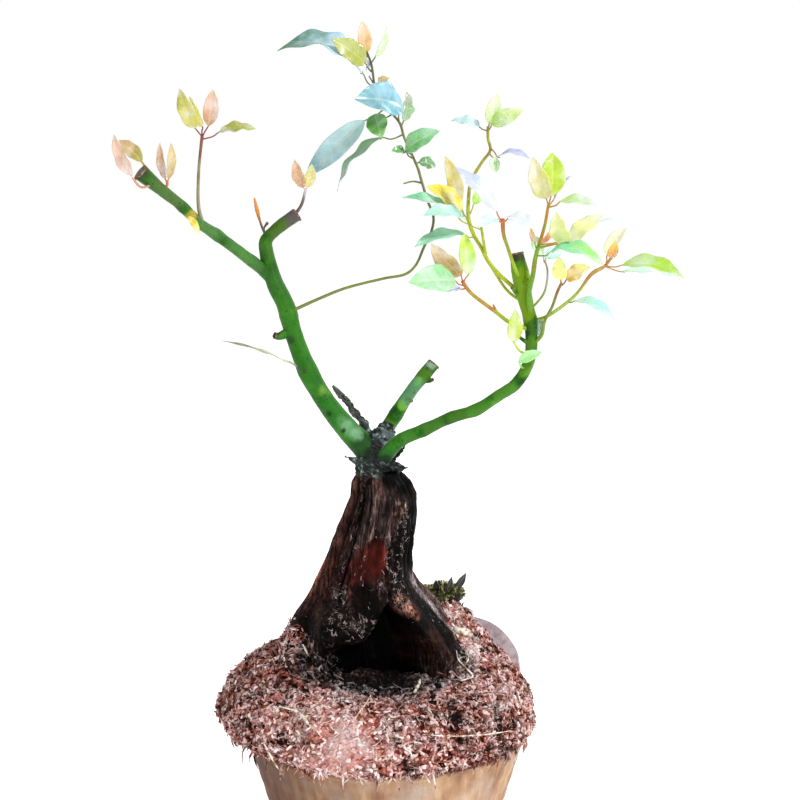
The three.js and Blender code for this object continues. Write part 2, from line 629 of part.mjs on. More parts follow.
// Pot: a plain tapered bowl with a rounded rim and four drain holes off the middle.
const drainHoles = 4;
const drainHoleRadius = 6;
const drainHoleReach = 48;

const potInside = (z) => potBaseRadius - potWall + (potRimRadius - potBaseRadius) * z / potHeight;

function pot() {
  const profile = [
    [0, 0],
    [potBaseRadius - 2, 0],
    [potBaseRadius, 2],
    [potRimRadius, potHeight - 4],
    [potRimRadius - 1, potHeight - 1],
    [potRimRadius - 3, potHeight],
    [potInside(potHeight) + 2, potHeight],
    [potInside(potHeight), potHeight - 2],
    [potInside(potFloor), potFloor],
    [0, potFloor],
  ];
  const outline = profile.map(([radius, z]) => new THREE.Vector2(radius, z));
  let solid = solidOf(new THREE.LatheGeometry(outline, roundSides).rotateX(Math.PI / 2));
  for (let i = 0; i < drainHoles; i += 1) {
    const turn = (i + 0.5) / drainHoles * 2 * Math.PI;
    const hole = new THREE.CylinderGeometry(drainHoleRadius, drainHoleRadius, 3 * potFloor, 12)
      .rotateX(Math.PI / 2)
      .translate(drainHoleReach * Math.cos(turn), drainHoleReach * Math.sin(turn), potFloor / 2);
    solid = solid.subtract(solidOf(hole));
  }
  return solid;
}

// Soil: fills the pot and heaps over its rim. Each row of the mound is its share
// of the edge radius and its height.
const moundRows = [
  [0.93, 129.8],
  [0.965, 132],
  [0.99, 137],
  [1, 144],
  [0.993, 151.5],
  [0.97, 160],
  [0.935, 169],
  [0.885, 178],
  [0.82, 185],
  [0.73, 191],
  [0.63, 195],
  [0.52, 198],
  [0.38, 200],
  [0.18, 202],
];
const chipRelief = 2.2;

// Repeatable draw between -1 and 1 for a row and a place in it.
function draw(row, place) {
  const value = Math.sin(row * 12.9898 + place * 78.233) * 43758.5453;
  return 2 * (value - Math.floor(value)) - 1;
}

// Humps and dips of the mound: middle, half its width along X and Y, lift.
const mounds = [
  { what: "heap at the back right", x: 58, y: 62, wide: 42, deep: 42, lift: 34 },
  { what: "heap behind the stump", x: -6, y: 70, wide: 55, deep: 55, lift: 8 },
  { what: "lower front", x: 2, y: -62, wide: 77, deep: 46, lift: -17 },
  { what: "floor of the hollow", x: -4, y: -22, wide: 43, deep: 26, lift: -9 },
  { what: "bank at the stump's left foot", x: -80, y: -42, wide: 25, deep: 24, lift: 16 },
];
const moundShoulder = 0.3;

// How much higher or lower the mound is than its rows at a place.
function moundLift(x, y, share) {
  const inner = smoothstep(1 - share, 0, moundShoulder);
  return mounds.reduce((sum, { x: mx, y: my, wide, deep, lift }) =>
    sum + inner * lift * bump(Math.hypot((x - mx) / wide, (y - my) / deep), 1), 0);
}

function soil() {
  const ring = (radius, z, centreX = 0) => Array.from({ length: roundSides }, (_, i) => {
    const turn = i / roundSides * 2 * Math.PI;
    return new THREE.Vector3(centreX + radius * Math.cos(turn), radius * Math.sin(turn), z);
  });
  const buried = [
    ring(potInside(potFloor) - clearance, potFloor + clearance),
    ring(potInside(70) - clearance, 70),
    ring(potInside(potHeight) - 2, potHeight - 1),
    ring(potInside(potHeight) - 1, potHeight + 1.2),
    ring(potRimRadius + 1.2, potHeight + 1.2),
  ];
  // The lowest row hugs the pot, and the rows above it move over to the mound's own middle.
  const mound = moundRows.map(([share, height], row) => Array.from({ length: roundSides }, (_, i) => {
    const turn = i / roundSides * 2 * Math.PI;
    const edge = moundEdgeRadius + 2.5 * Math.sin(3 * turn + 1) + 1.5 * Math.sin(7 * turn);
    const rough = row === 0 ? 0 : chipRelief;
    const radius = share * edge + rough * draw(row, i);
    const x = moundCentreX * smoothstep(row, -0.5, 3) + radius * Math.cos(turn);
    const y = radius * Math.sin(turn);
    return new THREE.Vector3(x, y, height + moundLift(x, y, share) + rough * draw(i, row + 40));
  }));
  return loft([...buried, ...mound]);
}

// Grey sheet that holds the soil at the right rear: top edge point, then how the
// sheet runs down into the soil.
const sheetEdge = [
  [123, 16, 158],
  [121, 26, 163],
  [119, 33, 168],
  [117, 42, 182],
  [108, 53, 195],
  [96, 64, 203],
  [80, 76, 206],
  [64, 87, 205],
];
const sheetDepth = 20;
const sheetThickness = 1.4;

function sheet(swell) {
  const half = sheetThickness / 2 + swell;
  const rings = sheetEdge.map(([x, y, z]) => {
    const outward = new THREE.Vector3(x - moundCentreX, y, 0).normalize();
    const top = new THREE.Vector3(x, y, z + swell);
    const foot = top.clone().addScaledVector(outward, -0.35 * sheetDepth);
    foot.z -= sheetDepth + 2 * swell;
    return [
      foot.clone().addScaledVector(outward, half),
      foot.clone().addScaledVector(outward, -half),
      top.clone().addScaledVector(outward, -half),
      top.clone().addScaledVector(outward, half),
    ];
  });
  return loft(rings);
}

// Moss cushion on the back of the mound, with small leaves standing out of it.
const mossCentre = [48, 62, 229];
const mossLumps = [
  { offset: [-11, -2, 1], radius: 11 },
  { offset: [2, 2, 3], radius: 12 },
  { offset: [12, -2, 3], radius: 10 },
  { offset: [-2, -7, 0], radius: 9 },
];
const mossLeaves = [
  { base: [60, 60, 235], tip: [71, 58, 252], width: 7, face: [0.3, -0.9, 0.2] },
  { base: [53, 56, 236], tip: [58, 52, 250], width: 6, face: [0.4, -0.8, 0.3] },
  { base: [46, 56, 236], tip: [44, 50, 248], width: 6, face: [-0.3, -0.8, 0.3] },
  { base: [38, 57, 232], tip: [31, 50, 240], width: 6, face: [-0.4, -0.7, 0.5] },
];

function moss() {
  const lumps = mossLumps.map(({ offset, radius }) => {
    const lump = new THREE.IcosahedronGeometry(radius, 1);
    lump.scale(1, 1, 0.85);
    lump.translate(...mossCentre.map((value, i) => value + offset[i]));
    return solidOf(lump);
  });
  const leaves = mossLeaves.map(leafSolid);
  return [...lumps, ...leaves].reduce((whole, piece) => whole.add(piece));
}

// Assembly
const soilFilling = soil().subtract(trunk(clearance)).subtract(sheet(clearance));

addNode("pot", pot(), "#a98d63", 0.85);
addNode("soil", soilFilling, "#9a6a58", 0.95);
addNode("trunk", trunk(0), "#3b2a22", 0.9);
Object.keys(limbs).forEach((name) => {
  addNode(name, limb(name, 0).subtract(trunk(clearance)), limbGreen[name], 0.5);
});
Object.entries(shoots).forEach(([name, parts]) => {
  addNode(name, shoot(parts).subtract(limb(parts.limb, clearance)), parts.color, 0.45);
});
addNode("soil_sheet", sheet(0), "#a8a4b0", 0.5);
addNode("moss", moss().subtract(soil().translate(0, 0, clearance)), "#3f5a22", 0.95);

export default group;
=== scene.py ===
# %% [markdown]
# # A camphor tree bonsai
# A hollow old camphor stump stands in a mound of coir soil over a plain clay pot. Three
# green limbs grow from its crown and carry young leafy shoots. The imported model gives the
# pieces and their places. This lesson dresses each of them, from the pot upwards.
# Sizes are written in millimetres, as a grower measures, and turned to metres when a mesh
# is made.

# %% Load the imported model
import math

import bmesh
import bpy
import numpy as np
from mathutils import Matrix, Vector


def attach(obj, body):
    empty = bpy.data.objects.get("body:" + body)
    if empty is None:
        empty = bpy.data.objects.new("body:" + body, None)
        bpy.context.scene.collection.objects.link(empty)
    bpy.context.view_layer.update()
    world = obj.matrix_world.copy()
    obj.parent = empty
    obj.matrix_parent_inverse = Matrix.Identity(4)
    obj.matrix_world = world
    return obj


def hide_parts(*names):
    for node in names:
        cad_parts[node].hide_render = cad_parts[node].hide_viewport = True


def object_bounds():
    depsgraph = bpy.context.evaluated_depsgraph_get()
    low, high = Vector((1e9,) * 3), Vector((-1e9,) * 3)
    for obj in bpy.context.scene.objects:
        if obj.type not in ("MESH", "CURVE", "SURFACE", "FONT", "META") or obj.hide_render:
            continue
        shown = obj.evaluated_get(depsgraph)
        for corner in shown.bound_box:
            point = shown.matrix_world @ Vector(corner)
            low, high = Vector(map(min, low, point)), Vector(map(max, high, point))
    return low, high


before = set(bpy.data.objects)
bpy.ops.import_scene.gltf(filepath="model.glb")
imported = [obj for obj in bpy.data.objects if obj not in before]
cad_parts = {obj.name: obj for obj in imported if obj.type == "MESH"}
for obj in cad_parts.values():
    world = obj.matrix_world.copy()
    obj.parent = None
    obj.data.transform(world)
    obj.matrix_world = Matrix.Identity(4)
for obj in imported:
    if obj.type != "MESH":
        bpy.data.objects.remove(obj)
cad_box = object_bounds()
MM = 0.001
print("nodes to dress:", len(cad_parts))

# %% [markdown]
# ## Camera and daylight
# The photograph looks slightly down on the tree through a long lens, so the camera stands
# 1.7 m away and 10 degrees up. One large lamp from the upper right gives the crumbs and
# the bark their relief, a weaker one from the left keeps the shaded side readable, and
# a third from behind rims the limbs and leaves. The Standard view keeps the leaf colours clear.

# %% Camera
def placed(name, data):
    """A new object in the scene."""
    body = bpy.data.objects.new(name, data)
    bpy.context.scene.collection.objects.link(body)
    return body


camera_target = Vector((0.012, 0.0, 0.419))
camera_distance = 1.7
camera_elevation = math.radians(10)
camera_lens = 90
towards_camera = Vector((0.0, -math.cos(camera_elevation), math.sin(camera_elevation)))
camera = placed("camera", bpy.data.cameras.new("camera"))
camera.data.lens = camera_lens
camera.location = camera_target + camera_distance * towards_camera
camera.rotation_euler = (-towards_camera).to_track_quat("-Z", "Y").to_euler()
bpy.context.scene.camera = camera
bpy.context.scene.view_settings.view_transform = "Standard"
print("camera stands at", [round(c, 3) for c in camera.location])


# %% Daylight
def lamp(name, place, watts, size):
    """A square lamp at a place, turned towards the middle of the tree."""
    data = bpy.data.lights.new(name, "AREA")
    data.energy = watts
    data.size = size
    holder = placed(name, data)
    holder.location = place
    holder.rotation_euler = (camera_target - Vector(place)).to_track_quat("-Z", "Y").to_euler()


lamp("daylight", (1.35, -1.55, 2.4), 62, 0.5)
lamp("side_light", (-2.2, -1.0, 1.2), 9, 1.2)
lamp("rim_light", (1.7, 1.6, 1.8), 22, 1.0)
sky_light = 0.38

# %% [markdown]
# ## Shared helpers
# A hex value is how a colour is read off a screen, while Blender's sockets want linear
# light, so one function turns the first into the second. One more adds a node, sets it up
# and links what it is given, for shaders and for geometry trees alike.


# %% Colour and nodes
def linear(hex_colour):
    """Red, green, blue and alpha in linear light for an sRGB hex value."""
    parts = [int(hex_colour[i:i + 2], 16) / 255 for i in (1, 3, 5)]
    return (*[p / 12.92 if p <= 0.04045 else ((p + 0.055) / 1.055) ** 2.4 for p in parts], 1.0)


# %% Add a node
def result_of(value):
    """The socket that a node gives its result from. Anything else comes back as it is."""
    if isinstance(value, bpy.types.Node):
        return next(socket for socket in value.outputs if socket.enabled)
    return value


def add(tree, kind, inputs=None, points=None, **settings):
    """Adds a node. A kind without Node in its name is one of the ShaderNode kinds. inputs
    maps a socket's name or number to a value, a socket or a node, and points are the stops
    of a ramp or of a curve. A mix is always one of colours."""
    node = tree.nodes.new(kind if "Node" in kind else "ShaderNode" + kind)
    if kind == "Mix":
        node.data_type = "RGBA"
    for name, value in settings.items():
        setattr(node, name, value)
    for key, value in (inputs or {}).items():
        value = result_of(value)
        if isinstance(value, bpy.types.NodeSocket):
            tree.links.new(value, node.inputs[key])
        elif value is not None:
            node.inputs[key].default_value = value
    if points and hasattr(node, "color_ramp"):
        stops = node.color_ramp.elements
        while len(stops) < len(points):
            stops.new(0.5)
        for stop, (place, colour) in zip(stops, points):
            stop.position = place
            stop.color = linear(colour)
    elif points:
        curve = node.mapping.curves[0]
        while len(curve.points) < len(points):
            curve.points.new(0.5, 0.5)
        for point, place in zip(curve.points, points):
            point.location = place
        node.mapping.update()
    return node


# %% Start a finish
def new_finish(name, roughness, ior=1.5, gloss=0.5):
    """A material named for what it is made of, with its node tree, its shader and the
    place of each point on the tree. A gloss below 0.5 dulls the mirroring of crumbly,
    fibrous stuff, whose pits swallow light."""
    material = bpy.data.materials.new(name)
    material.use_nodes = True
    tree = material.node_tree
    shader = tree.nodes["Principled BSDF"]
    shader.inputs["Roughness"].default_value = roughness
    shader.inputs["IOR"].default_value = ior
    shader.inputs["Specular IOR Level"].default_value = gloss
    print("finish:", name)
    return material, tree, shader, add(tree, "TexCoord").outputs["Object"]


def colour_and_relief(tree, shader, colour, height=None, strength=0.0, depth=0.0):
    """Gives a shader its colour, and a relief as deep as that many millimetres."""
    tree.links.new(result_of(colour), shader.inputs["Base Color"])
    if height:
        relief = add(tree, "Bump", {"Height": height, "Strength": strength, "Distance": depth * MM})
        tree.links.new(result_of(relief), shader.inputs["Normal"])


def per_metre(millimetres):
    """The scale of a pattern whose features are that many millimetres apart."""
    return 1 / (millimetres * MM)


# %% [markdown]
# The sky looks pure white to the camera and lights the tree at little more than a third
# of that strength, so that it doesn't wash out the colours. The floor is a plain white surface, a little
# luminous, so that it ends in the same white. It is part of the picture and not of the
# tree.

# %% Sky and floor
sky = bpy.data.worlds.new("bright sky")
sky.use_nodes = True
seen = add(sky.node_tree, "LightPath").outputs["Is Camera Ray"]
brightness = add(sky.node_tree, "MapRange", {"Value": seen, "To Min": sky_light, "To Max": 1.0})
background = sky.node_tree.nodes["Background"]
background.inputs["Color"].default_value = (1, 1, 1, 1)
sky.node_tree.links.new(brightness.outputs[0], background.inputs["Strength"])
bpy.context.scene.world = sky
floor_finish, tree, floor_shader, place = new_finish("luminous white paper", 0.9)
floor_shader.inputs["Base Color"].default_value = linear("#ffffff")
floor_shader.inputs["Emission Color"].default_value = linear("#ffffff")
floor_shader.inputs["Emission Strength"].default_value = 0.63
floor_radius = 9.0
floor_mesh = bpy.data.meshes.new("floor")
floor_shape = bmesh.new()
bmesh.ops.create_circle(floor_shape, cap_ends=True, segments=96, radius=floor_radius)
floor_shape.to_mesh(floor_mesh)
floor_shape.free()
floor_mesh.materials.append(floor_finish)
floor = placed("floor", floor_mesh)
print("floor is", 2 * floor_radius, "m across")

# %% [markdown]
# ## Shapes by rule
# Bark, soil and limbs have no two places alike. Their relief comes from smooth noise:
# random values on a lattice, blended in between, in a few sizes laid over each other.
# It is worked out for all points at once and draws the same values on every run.


# %% Noise and soft bumps
# Large primes scramble the places of the lattice into numbers without a pattern.
lattice_primes = np.array([73856093, 19349663, 83492791])


def noise(points, cell, seed, octaves):
    """Smooth noise between about -1 and 1. Its largest lumps are cell millimetres wide,
    and each octave adds lumps of half the width and height."""
    points = np.asarray(points, float)
    total, strength, reach = 0.0, 1.0, 0.0
    for octave in range(octaves):
        place = points / cell * 2 ** octave + 17.3 * octave + seed * 7.13
        low = np.floor(place).astype(np.int64)
        share = place - low
        share = share * share * (3 - 2 * share)
        value = 0.0
        for corner in range(8):
            step = np.array([corner & 1, corner >> 1 & 1, corner >> 2 & 1])
            key = (low + step) * lattice_primes
            mixed = (key[..., 0] ^ key[..., 1] ^ key[..., 2] ^ (seed + 1) * 2654435761) & 0x7FFFFFFF
            mixed = (mixed ^ mixed >> 13) * 1274126177 & 0x7FFFFFFF
            drawn = (mixed ^ mixed >> 11) / 0x7FFFFFFF * 2 - 1
            value = value + drawn * np.where(step, share, 1 - share).prod(-1)
        total = total + value * strength
        reach += strength
        strength /= 2
    return total / reach * 1.6


def bump(distance, width):
    """1 at the middle, nearly 0 at two widths away."""
    return np.exp(-(np.asarray(distance) / width) ** 2)


def distance(points, place):
    """How far each point is from a place."""
    return np.linalg.norm(points - np.asarray(place), axis=-1)


def smoothstep(value, low, high):
    """0 below low and 1 above high, with a soft step between them."""
    share = np.clip((np.asarray(value, float) - low) / (high - low), 0, 1)
    return share * share * (3 - 2 * share)


# %% [markdown]
# Two more helpers make meshes. Most forms here are rings joined one to the next, and
# most repeats come out of a geometry tree, whose result is kept as a plain mesh.


# %% Ring meshes
def ring_faces(rings, sides):
    """Faces of rings that are joined one to the next and closed by a point at both ends."""
    first, last = rings * sides, rings * sides + 1
    level, place = np.meshgrid(np.arange(rings - 1), np.arange(sides), indexing="ij")
    a = level * sides + place
    b = level * sides + (place + 1) % sides
    faces = np.stack([a, b, b + sides, a + sides], -1).reshape(-1, 4).tolist()
    top = (rings - 1) * sides
    for i in range(sides):
        j = (i + 1) % sides
        faces.append([first, j, i])
        faces.append([last, top + i, top + j])
    return faces


def ring_mesh(name, rings):
    """A closed mesh from an array of rings of points, in millimetres."""
    levels, sides = rings.shape[:2]
    ends = [rings[0].mean(0), rings[-1].mean(0)]
    points = np.concatenate([rings.reshape(-1, 3), ends]) * MM
    mesh = bpy.data.meshes.new(name)
    mesh.from_pydata(points.tolist(), [], ring_faces(levels, sides))
    mesh.shade_smooth()
    return mesh


# %% Points and marks of a mesh
def mesh_from(shape, name):
    """A mesh out of the shape that bmesh built, which is freed."""
    mesh = bpy.data.meshes.new(name)
    shape.to_mesh(mesh)
    shape.free()
    return mesh


def mark(mesh, name, values):
    """Stores a value or a colour for each point of a mesh, for its material to read."""
    values = np.asarray(values, np.float32)
    kind, field = ("FLOAT", "value") if values.ndim == 1 else ("FLOAT_COLOR", "color")
    if values.ndim == 2 and values.shape[1] == 3:
        values = np.column_stack([values, np.ones(len(values), np.float32)])
    layer = mesh.attributes.get(name) or mesh.attributes.new(name, kind, "POINT")
    layer.data.foreach_set(field, values.ravel())


def points_of(mesh):
    """A mesh's points in millimetres."""
    flat = np.zeros(len(mesh.vertices) * 3, np.float32)
    mesh.vertices.foreach_get("co", flat)
    return flat.reshape(-1, 3).astype(float) / MM


def normals_of(mesh):
    """The direction in which each point of a mesh faces."""
    flat = np.zeros(len(mesh.vertices) * 3, np.float32)
    mesh.vertex_normals.foreach_get("vector", flat)
    return flat.reshape(-1, 3).astype(float)


def set_points(mesh, points):
    """Moves a mesh's points to places in millimetres."""
    mesh.vertices.foreach_set("co", (points * MM).astype(np.float32).ravel())
    mesh.update()


# %% Run a geometry tree
def new_tree(name, **inputs):
    """A geometry tree with a geometry input, named number inputs and one output."""
    tree = bpy.data.node_groups.new(name, "GeometryNodeTree")
    tree.interface.new_socket("Geometry", in_out="INPUT", socket_type="NodeSocketGeometry")
    tree.interface.new_socket("Geometry", in_out="OUTPUT", socket_type="NodeSocketGeometry")
    for key, kind in inputs.items():
        title = key.replace("_", " ")
        tree.interface.new_socket(title, in_out="INPUT", socket_type="NodeSocket" + kind)
    print("tree:", name)
    return tree, tree.nodes.new("NodeGroupInput").outputs


def end_tree(tree, geometry, finish):
    """Ends a geometry tree: copies become real faces, and all faces take one material."""
    real = add(tree, "GeometryNodeRealizeInstances", {"Geometry": geometry})
    done = add(tree, "GeometryNodeSetMaterial", {"Geometry": real, "Material": finish})
    add(tree, "NodeGroupOutput", {0: done})


def baked(holder):
    """The plain mesh that an object's modifiers make. The object itself goes."""
    depsgraph = bpy.context.evaluated_depsgraph_get()
    mesh = bpy.data.meshes.new_from_object(
        holder.evaluated_get(depsgraph), preserve_all_data_layers=True, depsgraph=depsgraph)
    bpy.data.objects.remove(holder)
    return mesh


def shape_from(tree, carrier_data, inputs, thickness=None):
    """Runs a geometry tree on a mesh or curve and keeps its result as a plain mesh."""
    carrier = placed("carrier", carrier_data)
    modifier = carrier.modifiers.new("shape", "NODES")
    modifier.node_group = tree
    for item in tree.interface.items_tree:
        if item.in_out == "INPUT" and item.name in inputs:
            modifier[item.identifier] = inputs[item.name]
    if thickness:
        wall = carrier.modifiers.new("wall", "SOLIDIFY")
        wall.thickness = thickness * MM
        wall.offset = 0
    return baked(carrier)


# %% Join meshes and place a piece
def joined(name, meshes):
    """One mesh out of several, which keeps their materials and their marks."""
    finishes = []
    whole = bmesh.new()
    for mesh in meshes:
        slots = []
        for finish in mesh.materials:
            if finish not in finishes:
                finishes.append(finish)
            slots.append(finishes.index(finish))
        if slots:
            numbers = np.zeros(len(mesh.polygons), np.int32)
            mesh.polygons.foreach_get("material_index", numbers)
            mesh.polygons.foreach_set("material_index", np.array(slots, np.int32)[numbers])
        whole.from_mesh(mesh)
    result = mesh_from(whole, name)
    for finish in finishes:
        result.materials.append(finish)
    return result


def piece(name, mesh, slot, *nodes):
    """Places a finished mesh as a piece of the tree that stands for these CAD nodes."""
    mesh.name = name
    body = placed(name, mesh)
    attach(body, "root")
    if nodes:
        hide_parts(*nodes)
    mesh.calc_loop_triangles()
    print(f"{name}: {len(mesh.loop_triangles)} triangles")


# %% [markdown]
# ## Clay pot
# The pot is a plain tapered training pot of unglazed earthenware, thrown on a wheel. It
# could be turned with a Screw modifier, but rings of points give the fine throwing marks
# as well. Four drain holes are cut through its floor with a Boolean, as the CAD's are.

# %% Pot sizes
pot_height = 128
pot_rim_radius = 122
pot_base_radius = 84
pot_wall = 7
pot_floor = 9
drain_holes = 4
drain_hole_radius = 6
drain_hole_reach = 48


def pot_inside(z):
    """Radius of the pot's inner wall at a height."""
    return pot_base_radius - pot_wall + (pot_rim_radius - pot_base_radius) * z / pot_height


# %% Unglazed earthenware
# Fired clay is matt and slightly gritty. Water seeping through leaves pale bloom and
# darker streaks that run down the wall.
earthenware, tree, shader, place = new_finish("unglazed earthenware", 0.82)
streaks = add(tree, "TexNoise", {
    "Vector": add(tree, "Mapping", {"Vector": place, "Scale": (1, 1, 0.12)}),
    "Scale": per_metre(9), "Detail": 4})
clay = add(tree, "ValToRGB", {"Fac": streaks},
           [(0.3, "#8b664b"), (0.45, "#a27a5b"), (0.6, "#b58f6d"), (0.72, "#c4a485")])
bloom_and_sheen = add(tree, "TexNoise", {"Vector": place, "Scale": per_metre(34), "Detail": 5})
bloom_and_sheen_share = add(tree, "MapRange", {
    "Value": bloom_and_sheen, "From Min": 0.5, "From Max": 0.75, "To Max": 0.65})
with_bloom_and_sheen = add(tree, "Mix", {0: bloom_and_sheen_share, 6: clay, 7: linear("#b9b0a8")})
# The left side, which faces away from the lamp, is painted darker brown: damp and painted shade.
sideways = add(tree, "SeparateXYZ", {0: place}).outputs["X"]
damp_and_shade_share = add(tree, "MapRange", {
    "Value": sideways, "From Max": -0.09, "To Max": 0.9})
damp_and_shaded_clay = add(tree, "Mix", {0: damp_and_shade_share, 6: with_bloom_and_sheen, 7: linear("#785642")}, blend_type="MULTIPLY")
grit = add(tree, "TexNoise", {"Vector": place, "Scale": per_metre(1.2), "Detail": 3})
gritty = add(tree, "Mix", {0: 0.25, 6: damp_and_shaded_clay, 7: grit}, blend_type="OVERLAY")
colour_and_relief(tree, shader, gritty, grit, 0.35, 0.3)


# %% Turn the pot
def turned(profile, sides):
    """Rings for a profile of (radius, height)."""
    turn = np.linspace(0, 2 * math.pi, sides, endpoint=False)
    radius, height = [np.repeat(column[:, None], sides, axis=1) for column in np.array(profile, float).T]
    return np.stack([radius * np.cos(turn), radius * np.sin(turn), height], -1)


pot_sides = 144
throwing_mark = 0.25
wall_heights = np.linspace(3, pot_height - 5, 44)
outer_wall = [
    (pot_base_radius + (pot_rim_radius - pot_base_radius) * z / pot_height
     - 0.4 + throwing_mark * math.sin(z / 2.3 + 0.8 * math.sin(z / 9)), z)
    for z in wall_heights
]
rim = [(pot_rim_radius, pot_height - 4), (pot_rim_radius - 0.3, pot_height - 2),
       (pot_rim_radius - 1.2, pot_height - 0.8), (pot_rim_radius - 3, pot_height),
       (pot_inside(pot_height) + 2, pot_height), (pot_inside(pot_height) + 0.5, pot_height - 0.8)]
inner_wall = [(pot_inside(z), z) for z in np.linspace(pot_height - 3, pot_floor + 2, 12)]
foot = [(1, 0), (30, 0), (60, 0), (pot_base_radius - 2.5, 0), (pot_base_radius - 1, 0.5),
        (pot_base_radius, 2)]
inner_floor = [(pot_inside(pot_floor) - 1.5, pot_floor), (50, pot_floor), (1, pot_floor)]
pot_mesh = ring_mesh("pot", turned(foot + outer_wall + rim + inner_wall + inner_floor, pot_sides))
pot_mesh.materials.append(earthenware)

# %% Cut the drain holes
drills = bmesh.new()
for hole in range(drain_holes):
    turn = (hole + 0.5) / drain_holes * 2 * math.pi
    drill = bmesh.ops.create_cone(
        drills, cap_ends=True, segments=32, radius1=drain_hole_radius * MM,
        radius2=drain_hole_radius * MM, depth=3 * pot_floor * MM)["verts"]
    middle = Vector((math.cos(turn), math.sin(turn), 0)) * drain_hole_reach * MM
    bmesh.ops.translate(drills, verts=drill, vec=middle + Vector((0, 0, pot_floor / 2 * MM)))
drill_holder = placed("drills", mesh_from(drills, "drills"))
pot_holder = placed("uncut_pot", pot_mesh)
cut = pot_holder.modifiers.new("cut", "BOOLEAN")
cut.object = drill_holder
cut.solver = "EXACT"
pot_mesh = baked(pot_holder)
bpy.data.objects.remove(drill_holder)
piece("clay_pot", pot_mesh, "clay", "pot")

# %% [markdown]
# ## Coir soil
# The tree was planted in chopped coconut coir that heaps over the rim and hangs in a
# ragged fringe. The mound follows the CAD's rows and humps, with crumbs of two sizes laid
# over them. One closed body alone would look like modelling clay, so loose chips and
# fibres are scattered on it afterwards.

# %% Mound sizes
mound_centre_x = -11
mound_edge_radius = 138
mound_rows = np.array([
    [0.93, 129.8], [0.965, 132], [0.99, 137], [1, 144], [0.993, 151.5], [0.97, 160],
    [0.935, 169], [0.885, 178], [0.82, 185], [0.73, 191], [0.63, 195], [0.52, 198],
    [0.38, 200], [0.18, 202], [0.02, 202],
])
# Humps and dips: middle, half their width along X and Y, lift.
mounds = [
    (58, 62, 42, 42, 34),
    (-6, 70, 55, 55, 8),
    (2, -62, 77, 46, -17),
    (-4, -22, 43, 26, -9),
    (-80, -42, 25, 24, 16),
]
mound_shoulder = 0.3
mound_inset = 2.2
clearance = 0.35
soil_sides = 330
soil_rows = 150


def mound_lift(x, y, share):
    """How much higher or lower the mound is than its rows at a place."""
    inner = smoothstep(1 - share, 0, mound_shoulder)
    lifts = [lift * bump(np.hypot((x - mx) / wide, (y - my) / deep), 1)
             for mx, my, wide, deep, lift in mounds]
    return inner * sum(lifts)


def mound_points(row, turn):
    """Points of the smooth mound at a place between its rows and a turn round it."""
    place = np.arange(len(mound_rows))
    share = np.interp(row, place, mound_rows[:, 0])
    height = np.interp(row, place, mound_rows[:, 1])
    edge = mound_edge_radius + 2.5 * np.sin(3 * turn + 1) + 1.5 * np.sin(7 * turn)
    x = mound_centre_x * smoothstep(row, -0.5, 3) + share * edge * np.cos(turn)
    y = share * edge * np.sin(turn)
    return np.stack([x, y, height + mound_lift(x, y, share)], -1)


# %% Damp coir
# Coir is matt and fibrous, rust red to pinkish grey when dry and nearly black when damp.
# The damp mark carries damp and painted shade: it is 1 in front of the hollow and inside
# it, where the stump shades the soil. The bleach mark tells how far light and rain have
# paled the soil, and it also paints shade into the gaps between clods.
def coir_colour(tree, place, tone, low, high):
    """The colour of coir for a tone from 0 to 1, spread over a range from low, dark, to
    high, bleached. Damp coir and coir in painted shade are darker and greyer, and pale
    crumbs are darkened the least."""
    bleach_and_gap_shade = add(tree, "Attribute", attribute_name="bleach_and_gap_shade")
    spread = add(tree, "MapRange", {"Value": tone, "To Min": low, "To Max": high})
    shade = add(tree, "Math", {0: spread, 1: bleach_and_gap_shade.outputs["Fac"]})
    dry = add(tree, "ValToRGB", {"Fac": shade}, [
        (0.0, "#160605"), (0.18, "#4a1c14"), (0.38, "#8a4a3c"), (0.56, "#b87f78"),
        (0.76, "#dab0ac"), (1.0, "#f6e2df")])
    damp_and_shade = add(tree, "Attribute", attribute_name="damp_and_shade").outputs["Fac"]
    worn = add(tree, "TexNoise", {"Vector": place, "Scale": per_metre(15), "Detail": 3})
    rust = add(tree, "TexNoise", {"Vector": place, "Scale": per_metre(9), "Detail": 3})
    fading = add(tree, "MapRange", {
        "Value": worn, "From Min": 0.4, "From Max": 0.62, "To Min": 1.15, "To Max": 0.7})
    greyed = add(tree, "HueSaturation", {
        "Hue": add(tree, "MapRange", {
            "Value": rust, "From Min": 0.5, "From Max": 0.7, "To Min": 0.5, "To Max": 0.525}),
        "Saturation": add(tree, "Math", {
            0: fading, 1: add(tree, "MapRange", {"Value": damp_and_shade, "To Min": 1.0, "To Max": 0.6})},
            operation="MULTIPLY"),
        "Color": dry})
    darkening_by_tone = add(tree, "Math", {0: tone, 1: -0.85, 2: 1.3}, operation="MULTIPLY_ADD")
    damp_and_shade_share = add(tree, "Math", {0: damp_and_shade, 1: darkening_by_tone}, operation="MULTIPLY", use_clamp=True)
    wet_and_shaded = add(tree, "Mix", {0: damp_and_shade_share, 6: linear("#ffffff"), 7: linear("#1d1c20")})
    return add(tree, "Mix", {0: 1.0, 6: greyed, 7: wet_and_shaded}, blend_type="MULTIPLY")


coir_bed, tree, shader, place = new_finish("damp coir bed", 0.95, gloss=0.15)
crumbs = add(tree, "TexNoise", {
    "Vector": place, "Scale": per_metre(3.2), "Detail": 5, "Roughness": 0.7})
colour_and_relief(tree, shader, coir_colour(tree, place, crumbs, -0.35, 0.75), crumbs, 0.9, 1.0)

# %% Heap up the mound
# Where the soil is washed smooth.
smooth_place = np.array([-36, -130, 154])
# Humps on the mound's shoulder: direction in degrees, half their width in radians, lift.
shoulder_humps = [(322, 0.5, 7), (228, 0.4, 5)]


